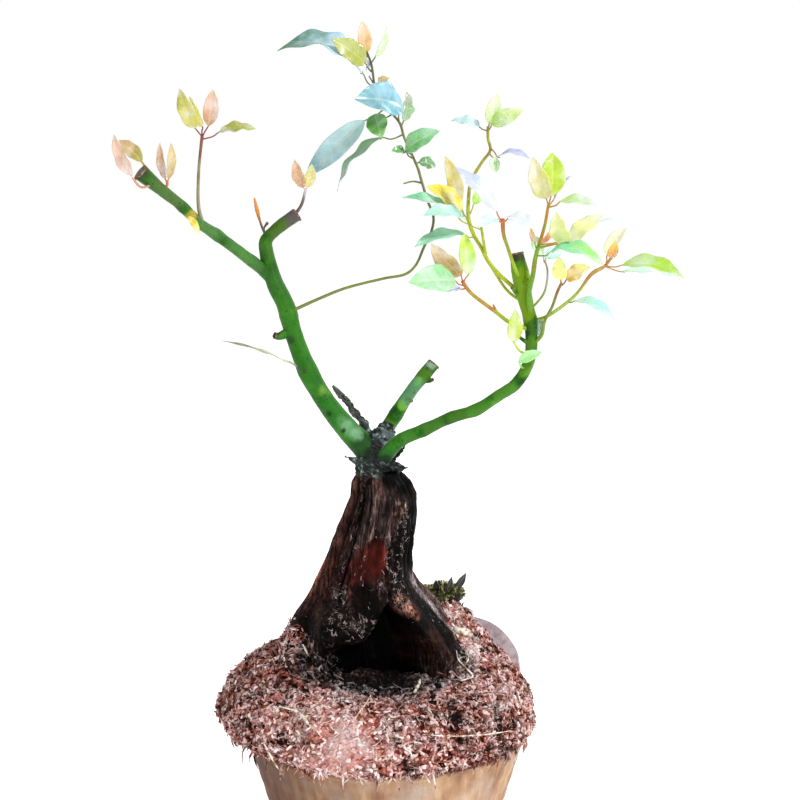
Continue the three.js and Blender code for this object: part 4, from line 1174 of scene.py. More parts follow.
branch = branch_tree()


# %% Rods along paths
def smooth_path(points, spacing):
    """Even points along a centripetal Catmull-Rom curve, which the CAD's rods follow."""
    points = np.array(points, float)
    knots = np.concatenate([[2 * points[0] - points[1]], points, [2 * points[-1] - points[-2]]])
    share = np.linspace(0, 1, 20, endpoint=False)[:, None]
    line = []
    for before, start, end, after in zip(knots, knots[1:], knots[2:], knots[3:]):
        a, b, c = [np.linalg.norm(q - p) ** 0.5 for p, q in ((before, start), (start, end), (end, after))]
        leave = b * ((start - before) / a - (end - before) / (a + b) + (end - start) / b)
        arrive = b * ((end - start) / b - (after - start) / (b + c) + (after - end) / c)
        line.append(start + leave * share + (3 * (end - start) - 2 * leave - arrive) * share ** 2
                    + (2 * (start - end) + leave + arrive) * share ** 3)
    line = np.concatenate([*line, points[-1:]])
    run = np.concatenate([[0], np.cumsum(np.linalg.norm(np.diff(line, axis=0), axis=1))])
    stops = np.linspace(0, run[-1], max(3, round(run[-1] / spacing) + 1))
    return np.stack([np.interp(stops, run, line[:, k]) for k in range(3)], -1)


def rods(paths, spacing, sides, lump_size, lump_height, finish, swelling=None):
    """One mesh of rods for (path, radii) rows, all in millimetres. swelling may change
    the radii of a rod, given its points."""
    curve = bpy.data.curves.new("paths", "CURVE")
    curve.dimensions = "3D"
    for path, radii in paths:
        points = smooth_path(path, spacing)
        radius = np.interp(np.linspace(0, len(radii) - 1, len(points)), np.arange(len(radii)), radii)
        if swelling:
            radius = radius + swelling(points)
        spline = curve.splines.new("POLY")
        spline.points.add(len(points) - 1)
        spline.points.foreach_set("co", np.column_stack([points * MM, np.ones(len(points))]).ravel())
        spline.points.foreach_set("radius", radius * MM)
    mesh = shape_from(branch, curve, {
        "Sides": sides, "Lump size": lump_size * MM, "Lump height": lump_height * MM, "Finish": finish})
    bpy.data.curves.remove(curve)
    return mesh


# %% [markdown]
# ## Crown of the stump
# Where the limbs leave the stump the bark has healed over old cuts into a knot of
# wrinkles and thorn-like snags. The snags are rods that run into each other, so a voxel
# remesh fuses them into one skin, which noise then wrinkles.

# %% Crown sizes
neck = ([[-6, 1, 338], [-8, 1, 356], [-9, 1, 368], [-7, 2, 379], [-2, 4, 389], [3, 6, 399]],
        [17, 19, 15.5, 13.5, 10, 6])
thorns = [
    ([[-14, -4, 366], [-26, -7, 368], [-34, -9, 372]], [7, 3.5, 0.5]),
    ([[-2, -4, 362], [11, -8, 362], [20, -11, 363]], [8, 5, 0.5]),
    ([[-14, 2, 356], [-22, -6, 356], [-26, -9, 364]], [7, 5, 1.5]),
    ([[4, 2, 366], [14, 4, 376], [17, 5, 382]], [5, 3, 1]),
    ([[-6, 6, 368], [-6, 16, 374], [-5, 20, 381]], [7, 4, 1]),
]
dead_stub = ([[-8, 8, 376], [-18, 15, 392], [-26, 18, 404], [-32, 19, 412], [-40, 20, 421], [-46, 21, 428]],
             [5, 4, 3.2, 3.6, 2.8, 1.6])
crown_voxel = 0.9

# %% Gnarled bark
# This bark is thin, grey and ringed like an elephant's skin. Algae tint it green where it
# stays damp, and shade is painted nearly black into its cracks.
gnarled_bark, tree, shader, place = new_finish("gnarled grey bark", 0.6, gloss=0.25)
rough = add(tree, "TexNoise", {
    "Vector": place, "Scale": per_metre(4.5), "Detail": 6, "Roughness": 0.7})
grey = add(tree, "ValToRGB", {"Fac": rough}, [
    (0.37, "#050807"), (0.47, "#1a2520"), (0.55, "#40504a"), (0.62, "#a3b2b0")])
deep = add(tree, "Attribute", attribute_name="deep").outputs["Fac"]
with_painted_light = shade_painted_when_deep(tree, stains_and_painted_light_over(tree, grey), deep, "#0b100d")
colour_and_relief(tree, shader, with_painted_light, rough, 0.8, 0.8)


# %% Fuse and wrinkle the crown
def fused(mesh, voxel):
    """One closed skin round overlapping shapes."""
    holder = placed("loose_shapes", mesh)
    skin = holder.modifiers.new("skin", "REMESH")
    skin.mode = "VOXEL"
    skin.voxel_size = voxel * MM
    skin.use_smooth_shade = True
    result = baked(holder)
    result.materials.clear()
    return result


crown_mesh = fused(rods([neck, *thorns, dead_stub], 2.0, 20, 6, 1.5, gnarled_bark), crown_voxel)
crown_points = points_of(crown_mesh)
neck_axis = np.array([0.42, 0.16, 0.89])
wrinkle_spacing = 3.1
up_the_neck = crown_points @ neck_axis / wrinkle_spacing * math.pi
wrinkles = bump(noise(crown_points * 0.6 + 9, 6, 41, 2) * 3.0 + np.sin(up_the_neck), 0.45)
crown_relief = 2.0 * noise(crown_points, 7, 42, 3) - 1.5 * wrinkles
tapering = np.clip(1.15 - bump(crown_points[:, 2] - 426, 10), 0.2, 1)
set_points(crown_mesh, crown_points + normals_of(crown_mesh) * (crown_relief * tapering)[:, None])
# Stains: middle, radius, colour, strength.
crown_stains = [
    (-10, -10, 372, 15, "#0d1712", 0.75), (14, -10, 362, 14, "#0d1a10", 0.75),
    (2, -6, 388, 10, "#9aa8b0", 0.25), (-12, -12, 392, 4, "#d9cfae", 0.95),
    (-28, 16, 408, 20, "#4c4f49", 0.6), (-40, 20, 421, 9, "#8c8a86", 0.5),
    (-18, -16, 350, 11, "#574039", 0.8), (6, -16, 350, 12, "#191817", 0.9),
]
mark(crown_mesh, "stain_and_painted_light", spotted(crown_points, crown_stains, 7, 43))
# The deep mark paints shade into the crown's wrinkles and dips.
mark(crown_mesh, "deep", np.clip(0.5 * wrinkles - crown_relief / 2.2, 0, 1))
crown_mesh.materials.append(gnarled_bark)
piece("stump", joined("stump", [trunk_mesh, crown_mesh]), "bark", "trunk")

# %% [markdown]
# ### Slivers and soil at the foot
# Rot leaves pale slivers and crumbs on the dark wood: on the bulge, along the brow of the
# hollow and down the right flank. Soil has washed up against the foot, so the same chips
# and shreds as on the mound are scattered there.

# %% Slivers of rotten wood
sliver_wood, tree, shader, place = new_finish("rotten wood sliver", 0.6, gloss=0.3)
own_tone = add(tree, "Attribute", attribute_name="tone").outputs["Fac"]
sliver_shades = add(tree, "ValToRGB", {"Fac": own_tone}, [
    (0.0, "#171010"), (0.35, "#40322f"), (0.65, "#83736f"), (0.85, "#b8a8a2"), (1.0, "#e0d4ce")])
colour_and_relief(tree, shader, sliver_shades)
sliver_shapes = shape_set("slivers", [strand(seed, 1.2, 0.07, 5) for seed in range(30, 36)])
sliver_dabs = [
    (-120, 11, 257, 9, 1.1), (-99, 13, 236, 6, 0.9), (-66, 4, 284, 20, 0.9), (-55, 6, 251, 8, 1.2),
    (-12, 10, 235, 16, 0.5), (-140, 5, 300, 40, 0.3), (-100, 14, 325, 22, 0.2),
]
right_flank = (
    bump(stump_direction + 50, 9) * smoothstep(stump_height, 252, 265) * smoothstep(stump_height, 342, 322))
sliver_cover = (
    dabbed(stump_direction, stump_height, sliver_dabs) + 0.5 * right_flank + 0.04 * (stump_height > 200))
sliver_cover *= (noise(stump_points, 7, 60, 2) > -0.15) * (stump_height < 345) * (in_the_hollow < 0.2)
mark(trunk_mesh, "cover", sliver_cover)
slivers = scattered(
    trunk_mesh, sliver_shapes, 260000, 21, (1.6, 0.9, 0.9), (5.5, 4.0, 3.4), 0.35, sliver_wood)
piece("wood_slivers", slivers, "bark")

# %% Soil washed against the foot
# Heights up to which soil covers the stump, for directions round it.
soil_line = np.array([
    [-180, 222], [-165, 226], [-150, 216], [-135, 207], [-118, 200], [-60, 186], [-40, 190],
    [-26, 197], [-12, 208], [5, 212], [22, 226], [40, 236], [90, 225], [180, 222],
])
up_to = np.interp(stump_direction, soil_line[:, 0], soil_line[:, 1]) + 5 * noise(stump_points, 9, 61, 2)
foot_cover = smoothstep(up_to - stump_height, -4, 5) * (stump_height > 176) * (in_the_hollow < 0.5)
mark(trunk_mesh, "cover", foot_cover)
foot_chips = scattered(trunk_mesh, lumps, 120000, 22, (3, 1.8, 1.4), (9, 5, 4), 0.7, coir_chip)
foot_shreds = scattered(trunk_mesh, shred_shapes, 60000, 23, (6, 6, 6), (15, 15, 14), 0.5, coir_chip)
foot_fibres = scattered(trunk_mesh, fibre_shapes, 40000, 24, (6, 6, 6), (17, 17, 17), 0.5, coir_fibre)
piece("foot_soil", weathered(joined("foot", [foot_chips, foot_shreds, foot_fibres])), "soil")

# %% [markdown]
# ## Green limbs
# Camphor keeps thin green bark on limbs of several years. It is smooth and waxy, with
# small dark lenticels, bud nodes and the dried stubs of shoots that were cut away. The
# lines are the CAD's, and every limb swells a little at its nodes.

# %% Limb sizes
limbs = {
    "limb_left": [
        ([[-12, 1, 371], [-18, 0, 378], [-32, 0, 393], [-49, 2, 414], [-66, 6, 442], [-79, 10, 476],
          [-85, 12, 498], [-95, 15, 519], [-101, 20, 541], [-102, 24, 552], [-94, 28, 561], [-76, 33, 574]],
         [11.5, 9.8, 8.6, 8.1, 7.8, 7.2, 7.6, 6.6, 5.2, 5.8]),
        ([[-95, 15, 518], [-104, 14, 528], [-122, 4, 544], [-141, -6, 560], [-154, -14, 570],
          [-167, -20, 584], [-185, -28, 600], [-200, -34, 614]],
         [5.2, 4.8, 4.7, 4.6, 4.5, 4.3, 5, 7]),
        ([[-82, 10, 476], [-91, 4, 473], [-94, 2, 474]], [4.2, 3.8, 2.8]),
    ],
    "limb_middle": [
        ([[-6, 8, 376], [-1, 13, 388], [9, 18, 404], [21, 22, 422], [41, 28, 446]],
         [6.4, 6.2, 5.6, 5.2, 5.6]),
        ([[15, 19, 411], [19, 16, 415], [22, 14, 416]], [3, 2.4, 1.6]),
        ([[31, 25, 434], [37, 23, 432], [40, 21, 433]], [3, 2.4, 1.6]),
    ],
    "limb_right": [
        ([[-6, -3, 366], [-1, -8, 372], [12, -11, 386], [33, -14, 396], [55, -17, 407], [76, -19, 414],
          [96, -20, 427], [108, -20, 435], [116, -20, 446], [121, -19, 459], [122, -18, 471],
          [121, -16, 489], [117, -14, 505], [113, -12, 526], [109, -10, 545]],
         [7.2, 6, 5.2, 4.8, 4.8, 4.8, 4.9, 4.8, 5.2, 5.8, 7.4, 5.8]),
        ([[117, -13, 508], [109, -16, 512], [105, -18, 517]], [2.6, 1.8, 1]),
        ([[121, -18, 470], [113, -22, 475], [110, -24, 479]], [2.4, 1.6, 1]),
    ],
}

# %% Nodes and marks on the limbs
# Nodes where a limb swells: middle, how wide, how far out.
nodes_on_limbs = [
    (-66, 6, 442, 9, 0.9), (-83, 11, 490, 8, 0.8), (-141, -6, 560, 6, 0.7), (-112, 9, 536, 6, 0.5),
    (9, 18, 404, 5, 0.6), (33, 25, 436, 5, 0.6), (33, -14, 396, 6, 0.6), (76, -19, 414, 6, 0.7),
    (121, -16, 489, 6, 0.6), (-167, -20, 584, 5, 0.6), (55, -17, 407, 5, 0.4), (112, -12, 530, 5, 0.5),
]
# Marks on the bark, and a painted highlight on the left limb: middle, radius, colour, strength.
bark_marks_and_highlights = [
    (-40, -6, 405, 26, "#267218", 0.7), (-64, 0, 446, 30, "#286e10", 0.7),
    (-20, -6, 378, 13, "#123c12", 0.85), (-14, -8, 371, 8, "#08120a", 0.9),
    # The next three pale green marks are a painted highlight on the left limb's lower part.
    (-35, -11, 402, 8, "#9cd0a4", 0.15), (-30, -11, 397, 8, "#a8d8b4", 0.22),
    (-25, -11, 392, 7, "#a8d8b4", 0.3), (-105, 8, 530, 4.5, "#1a2417", 0.9),
    (-82, 8, 488, 26, "#2f6e16", 0.7), (-94, 14, 520, 16, "#2c5f1c", 0.7),
    (-120, 4, 542, 20, "#4a7a3c", 0.7), (-56, 4, 424, 9, "#8bb04a", 0.5),
    (-60, -2, 437, 5, "#245c1e", 0.6), (-48, -6, 408, 3, "#0f1c10", 0.9),
    (-36, -8, 394, 2.6, "#101a10", 0.9), (-80, 4, 470, 4, "#1c3a1c", 0.8),
    (-98, 0, 476, 8, "#2a211c", 0.95), (-101, 18, 545, 14, "#356416", 0.7),
    (-92, 27, 563, 14, "#44641a", 0.85), (-75, 33, 575, 14, "#574d4c", 0.97),
    (-99, 18, 541, 2.4, "#12200c", 0.9), (-150, -12, 566, 16, "#5a8448", 0.6),
    (-182, -27, 598, 22, "#4d6b34", 0.85), (-202, -35, 615, 11, "#3a2c26", 0.95),
    (-161, -20, 578, 5, "#c2a23a", 0.8), (15, 14, 412, 6, "#6fb02c", 0.8),
    (2, 10, 392, 8, "#5f8f1e", 0.8), (22, 16, 424, 5, "#18251a", 0.85), (33, 22, 438, 7, "#4d7f1c", 0.7),
    (36, 20, 444, 3, "#15200f", 0.9), (39, 24, 446, 5, "#93ab92", 0.85), (27, 18, 432, 4, "#7cc04a", 0.7),
    (2, -9, 374, 11, "#1d5a1c", 0.8), (0, -16, 367, 9, "#0c1f0c", 0.9), (22, 20, 420, 14, "#5f9468", 0.7),
    (20, -15, 390, 9, "#3f7a22", 0.7), (40, -16, 401, 12, "#3c6e1c", 0.8),
    (60, -20, 409, 10, "#3a6a1a", 0.8), (78, -20, 415, 11, "#3f741c", 0.8),
    (100, -22, 430, 12, "#4a8024", 0.7), (118, -24, 455, 12, "#5d8f22", 0.7),
    (121, -24, 472, 7, "#55801a", 0.7), (117, -20, 503, 16, "#82a812", 0.85),
    (115, -17, 519, 3.4, "#d8cfa6", 0.85), (122, -23, 483, 4, "#3c5a16", 0.7),
    (113, -16, 524, 14, "#7ba012", 0.85), (109.5, -10, 542, 7.5, "#3e2d24", 0.95),
]

# %% Green camphor bark
# The bark is alive, so it is waxy and takes a soft sheen. Its green shifts in long
# patches, and dark lenticels a millimetre long dot it.
green_bark, tree, shader, place = new_finish("green camphor bark", 0.55, 1.45, 0.2)
shader.inputs["Sheen Weight"].default_value = 0.2
shader.inputs["Sheen Roughness"].default_value = 0.35
patches = add(tree, "TexNoise", {
    "Vector": place, "Scale": per_metre(14), "Detail": 5, "Roughness": 0.6})
green = add(tree, "ValToRGB", {"Fac": patches}, [
    (0.3, "#103a04"), (0.45, "#1b5907"), (0.58, "#317411"), (0.72, "#5a982f")])
pores = add(tree, "TexVoronoi", {"Vector": place, "Scale": per_metre(5.5)})
pore = add(tree, "MapRange", {
    "Value": pores, "From Min": 0.1, "From Max": 0.16, "To Min": 0.75, "To Max": 0.0})
dotted = add(tree, "Mix", {0: pore, 6: stains_and_painted_light_over(tree, green), 7: linear("#1d3312")})
fine = add(tree, "TexNoise", {"Vector": place, "Scale": per_metre(1.6), "Detail": 3})
colour_and_relief(tree, shader, dotted, fine, 0.3, 0.25)

# %% Dried cut
# A pruned end dries to a brown face with rings and a split, a little sunken in its rim.
dried_cut, tree, shader, place = new_finish("dried cut wood", 0.85)
split_grain = add(tree, "TexNoise", {"Vector": place, "Scale": per_metre(2.2), "Detail": 5})
cut_wood = add(tree, "ValToRGB", {"Fac": split_grain}, [
    (0.32, "#2a1d17"), (0.5, "#6e5645"), (0.68, "#a58d78")])
colour_and_relief(tree, shader, cut_wood)


def cut_end(middle, way, radius):
    """A sunken cut face with a raised rim of bark, on the end of a limb."""
    way = np.array(way, float) / np.linalg.norm(way)
    side = np.cross(way, [0, 1, 0.3])
    side /= np.linalg.norm(side)
    other = np.cross(way, side)
    turn = np.linspace(0, 2 * math.pi, 32, endpoint=False)
    lip = 1 + 0.05 * np.sin(3 * turn + radius) + 0.04 * np.sin(5 * turn)
    rings = [
        middle + way * lift + share * radius * lip[:, None] * (
            np.cos(turn)[:, None] * side + np.sin(turn)[:, None] * other)
        for share, lift in ((0.5, -2.5), (0.9, -2), (1.03, -0.8), (1.02, 0.25), (0.9, 0.55), (0.8, 0.1),
                            (0.5, -0.25), (0.15, -0.35))
    ]
    mesh = ring_mesh("cut_end", np.array(rings))
    mesh.materials.append(dried_cut)
    return mesh


# %% Grow the limbs
# A lenticel is a corky pore, nearly black where it is open and tan where it is dry.
lenticel, tree, shader, place = new_finish("corky lenticel", 0.85, gloss=0.2)
cork = add(tree, "TexNoise", {"Vector": place, "Scale": per_metre(3), "Detail": 3})
cork_shades = add(tree, "ValToRGB", {"Fac": cork}, [
    (0.4, "#14200d"), (0.55, "#33401f"), (0.7, "#8a8a5e")])
colour_and_relief(tree, shader, cork_shades)
dots = shape_set("dots", [torn_lump(seed, 10) for seed in (21, 22, 23)])


def node_swelling(points):
    """How far a limb swells out at its points."""
    return sum(out * bump(distance(points, (x, y, z)), wide) for x, y, z, wide, out in nodes_on_limbs)


for number, (name, paths) in enumerate(limbs.items()):
    limb = rods(paths, 1.6, 26, 7, 0.9, green_bark, node_swelling)
    limb_points = points_of(limb)
    mark(limb, "stain_and_painted_light", spotted(limb_points, bark_marks_and_highlights, 8, 50))
    mark(limb, "cover", np.ones(len(limb_points)))
    spots = scattered(limb, dots, 5200, 60 + number, (0.8, 0.5, 0.5), (2.2, 1.0, 0.9), 0.1, lenticel)
    ends = [cut_end(np.array(path[-1], float), np.subtract(path[-1], path[-2]), radii[-1])
            for path, radii in paths]
    piece(name + "_bark", joined(name, [limb, spots, *ends]), "green_bark", name)

# %% [markdown]
# ## Leafy shoots
# The young leaves of camphor come out copper, pink or lemon and turn glossy green later.
# Each blade is long-pointed, folded a little along its midrib, and wavy at its edge. One
# geometry tree makes a blade from its sizes, and a table says where every leaf sits, as
# in the CAD. Copies of a single leaf would be quicker, but no two leaves here are alike.


# %% Leaf tree
def leaf_tree():
    """A leaf blade along Y with its upper side along Z. It stores the vector mark blade:
    the place across it, from -1 to 1, and along it, from 0 to 1."""
    tree, given = new_tree("camphor leaf blade", Length="Float", Width="Float", Arch="Float",
                           Fold="Float", Wave="Float", Phase="Float", Finish="Material")
    sheet = add(tree, "GeometryNodeMeshGrid", {
        "Size X": 2.0, "Size Y": 1.0, "Vertices X": 13, "Vertices Y": 37})
    place = add(tree, "SeparateXYZ", {0: add(tree, "GeometryNodeInputPosition")})
    across, y = place.outputs["X"], place.outputs["Y"]
    u = add(tree, "Math", {0: y, 1: 0.5}, operation="ADD")
    outline = add(tree, "FloatCurve", {"Value": u}, [
        (0, 0.05), (0.03, 0.28), (0.09, 0.56), (0.2, 0.83), (0.4, 1), (0.6, 0.92), (0.8, 0.6),
        (0.92, 0.28), (1, 0.01)])
    half_width = add(tree, "Math", {0: given["Width"], 1: 0.5}, operation="MULTIPLY")
    half = add(tree, "Math", {0: outline, 1: half_width}, operation="MULTIPLY")
    out = add(tree, "Math", {0: across}, operation="ABSOLUTE")
    fold_height = add(tree, "Math", {0: out, 1: given["Fold"]}, operation="MULTIPLY")
    middle = add(tree, "Math", {
        0: add(tree, "Math", {0: y, 1: y}, operation="MULTIPLY"), 1: -4.0, 2: 1.0},
        operation="MULTIPLY_ADD")
    swing = add(tree, "Math", {
        0: u, 1: 15.0, 2: add(tree, "Math", {0: across, 1: 1.3, 2: given["Phase"]},
                              operation="MULTIPLY_ADD")}, operation="MULTIPLY_ADD")
    ripple = add(tree, "Math", {
        0: add(tree, "Math", {0: swing}, operation="SINE"),
        1: add(tree, "Math", {0: out, 1: given["Wave"]}, operation="MULTIPLY")},
        operation="MULTIPLY")
    sideways = add(tree, "Math", {0: ripple, 1: fold_height}, operation="ADD")
    raised = add(tree, "Math", {0: sideways, 1: half}, operation="MULTIPLY")
    height = add(tree, "Math", {0: middle, 1: given["Arch"], 2: raised}, operation="MULTIPLY_ADD")
    shape = add(tree, "CombineXYZ", {
        0: add(tree, "Math", {0: across, 1: half}, operation="MULTIPLY"),
        1: add(tree, "Math", {0: u, 1: given["Length"]}, operation="MULTIPLY"), 2: height})
    noted = add(tree, "GeometryNodeStoreNamedAttribute", {
        "Geometry": sheet.outputs["Mesh"], "Name": "blade",
        "Value": add(tree, "CombineXYZ", {0: across, 1: u})},
        data_type="FLOAT_VECTOR")
    bent = add(tree, "GeometryNodeSetPosition", {"Geometry": noted, "Position": shape})
    smooth = add(tree, "GeometryNodeSetShadeSmooth", {"Geometry": bent})
    end_tree(tree, smooth, given["Finish"])
    return tree


blade = leaf_tree()


# %% Leaf skin
# Veins run from the midrib to the edge and are paler than the blade. The underside is
# dull and paler too. A young leaf is soft and lets some light through, while a grown one
# has a wax layer that mirrors the sky.
def leaf_finish(name, roughness, ior, glow, wax, bloom_and_sheen):
    """A leaf material that reads the marks tone, blade and under. The last number is how much
    of a painted pale blue-white reflection of the sky its patches have."""
    material, tree, shader, place = new_finish(name, roughness, ior)
    mark_of_blade = add(tree, "Attribute", attribute_name="blade")
    blade_place = add(tree, "SeparateXYZ", {0: mark_of_blade.outputs["Vector"]})
    out = add(tree, "Math", {0: blade_place.outputs["X"]}, operation="ABSOLUTE")
    midrib = add(tree, "MapRange", {
        "Value": out, "From Min": 0.03, "From Max": 0.1, "To Min": 1.0, "To Max": 0.0})
    slant = add(tree, "Math", {
        0: blade_place.outputs["Y"], 1: 8.0, 2: add(tree, "Math", {0: out, 1: -1.5},
                                                    operation="MULTIPLY")}, operation="MULTIPLY_ADD")
    from_vein = add(tree, "Math", {0: slant, 1: 0.5}, operation="PINGPONG")
    side_vein = add(tree, "MapRange", {
        "Value": from_vein, "From Min": 0.02, "From Max": 0.1, "To Min": 0.6, "To Max": 0.0})
    veins = add(tree, "Math", {0: midrib, 1: side_vein}, operation="MAXIMUM")
    tone = add(tree, "Attribute", attribute_name="tone")
    mottle = add(tree, "TexNoise", {"Vector": place, "Scale": per_metre(6), "Detail": 5})
    mottled = add(tree, "Mix", {0: 0.3, 6: tone.outputs["Color"], 7: mottle}, blend_type="OVERLAY")
    veined = add(tree, "Mix", {
        0: add(tree, "Math", {0: veins, 1: 0.24}, operation="MULTIPLY"),
        6: mottled, 7: linear("#eef2c4")})
    under = add(tree, "Attribute", attribute_name="under")
    sided = add(tree, "Mix", {
        0: add(tree, "Math", {0: under.outputs["Fac"], 1: 0.3}, operation="MULTIPLY"),
        6: veined, 7: linear("#c9d8b8")})
    # Pale blue-white patches are a painted reflection of the sky.
    patch = add(tree, "TexNoise", {"Vector": place, "Scale": per_metre(16), "Detail": 3})
    bloom_and_sheen_share = add(tree, "MapRange", {
        "Value": patch, "From Min": 0.42, "From Max": 0.72, "To Min": 0.05, "To Max": bloom_and_sheen})
    with_bloom_and_sheen = add(tree, "Mix", {0: bloom_and_sheen_share, 6: sided, 7: linear("#e9eaf5")})
    colour_and_relief(tree, shader, with_bloom_and_sheen, veins, 0.5, -0.25)
    shader.inputs["Subsurface Weight"].default_value = glow
    shader.inputs["Subsurface Radius"].default_value = (0.5, 1.0, 0.25)
    shader.inputs["Subsurface Scale"].default_value = 1.5 * MM
    shader.inputs["Coat Weight"].default_value = wax
    shader.inputs["Coat Roughness"].default_value = 0.15
    return material


young_leaf = leaf_finish("tender camphor leaf", 0.45, 1.42, 0.25, 0.1, 0.6)
mature_leaf = leaf_finish("waxy camphor leaf", 0.3, 1.47, 0.08, 0.6, 0.3)

# %% Tender stems
# Stems are waxy too, green at their foot and copper where they are youngest.
tender_stem, tree, shader, place = new_finish("tender camphor stem", 0.42, 1.45)
tone = add(tree, "Attribute", attribute_name="tone")
specks = add(tree, "TexNoise", {"Vector": place, "Scale": per_metre(2.5), "Detail": 4})
specked = add(tree, "Mix", {0: 0.4, 6: tone.outputs["Color"], 7: specks}, blend_type="OVERLAY")
colour_and_relief(tree, shader, specked)

# %% Shoots on the left limb
# Each shoot has the colours of its stem from foot to tip, the paths and radii of its
# stems, and its leaves. A leaf has the place on its stem, unless it has no stalk, its
# base, tip, width, the way its upper side faces, and its colours at the base, at the tip
# and, for some, underneath. A last number tells how far it arches, where that isn't a
# twelfth of its length.
shoots = {
    "shoot_tip_pink": (("#8a6a5c", "#d29a78"), [
        ([(-188, -30, 605), (-199, -40, 602), (-206, -40, 610)], [1.3, 1, 0.9]),
    ], [
        (None, (-206, -40, 611), (-219.2, -46, 645), 12, (-0.4, -0.9, 0), ("#cf9c78", "#dcb8a4")),
    ]),
    "shoot_tip_yellow": (("#8a8a4a", "#c0a040"), [
        ([(-194, -28, 608), (-197, -24, 617), (-200, -24, 622)], [1.2, 1, 0.9]),
    ], [
        (None, (-200, -24, 622), (-219, -16, 639), 12, (0.3, -0.9, 0.3), ("#a8982c", "#ceaa7c")),
    ]),
    "shoot_tip_copper": (("#8c5a3c", "#c4702c"), [
        ([(-182, -27, 598), (-179, -28, 603), (-179, -28, 607)], [1.3, 1.2, 1]),
    ], [
        ((-179, -28, 604), (-180, -30, 608), (-183, -37, 638), 8, (-0.4, -0.9, 0), ("#b8743c", "#c9a27c")),
        ((-179, -28, 604), (-178, -26, 608), (-176, -20, 637), 8, (0.5, -0.8, 0), ("#b89a3c", "#c8b070")),
    ]),
    "bud_left": (("#b0a840", "#e4c93a"), [
        ([(-161, -18, 578), (-162, -25, 575), (-161, -28, 577)], [1.3, 1.2, 0.9]),
    ], [
        (None, (-161, -28, 577), (-153, -33, 563), 6, (0.3, -0.9, 0.3), ("#e4c93a", "#f2ee9a")),
    ]),
    "shoot_upright": (("#8e8664", "#80382e"), [
        ([(-152, -15, 571), (-155, -13, 584), (-155, -8, 612), (-153, -4, 634), (-152, -3, 642)],
         [1.9, 1.4, 1.3, 1.2, 1.4]),
    ], [
        ((-152, -3, 641), (-157, -7, 648), (-169, -14, 681), 14, (-0.3, -0.9, 0.2), ("#c6be38", "#a6a03c")),
        ((-152, -3, 641), (-152, 3, 649), (-163, 9, 674), 10, (-0.6, -0.8, 0.2), ("#e8e650", "#d8ce6a")),
        ((-152, -3, 641), (-147, 0, 650), (-143, 2, 680), 13, (0.2, -0.95, 0), ("#c08a5c", "#d0a284")),
        ((-153, -4, 639), (-138, 2, 645), (-108, 8, 647), 13, (0, -0.55, 0.83), ("#a0a038", "#b2b458")),
    ]),
    "twig_dead": (("#5c4638", "#d08434"), [
        ([(-98, 24, 551), (-104, 28, 560), (-108, 30, 571), (-112, 32, 588)], [1.4, 1.1, 1, 1.9, 0.7]),
        ([(-104, 28, 560), (-103, 22, 564), (-100, 20, 568)], [1, 0.8, 1.3]),
    ], []),
    "shoot_stub": (("#5a4a44", "#c0b0b4"), [
        ([(-79, 32, 572), (-72, 33, 582), (-68, 32, 596)], [1.6, 1.3, 1.2]),
    ], [
        ((-68, 32, 594), (-70, 30, 597), (-77, 24, 621), 11, (-0.3, -0.95, 0), ("#cc9c72", "#dcbca4")),
        ((-68, 32, 594), (-67, 34, 597), (-63, 32, 617), 10, (0.4, -0.9, 0), ("#d4c458", "#d2d284")),
    ]),
    "leaf_dead": (("#2c3a1c", "#c4c8a8"), [
        ([(-61, 5, 440), (-70, -4, 445), (-79, -9, 452), (-86, -12, 455)], [1.2, 1, 0.9]),
    ], [
        (None, (-86, -12, 455), (-137, -22, 473), 4.5, (0.35, -0.25, 0.9), ("#b9bf96", "#6c7640"), 2),
    ]),
}

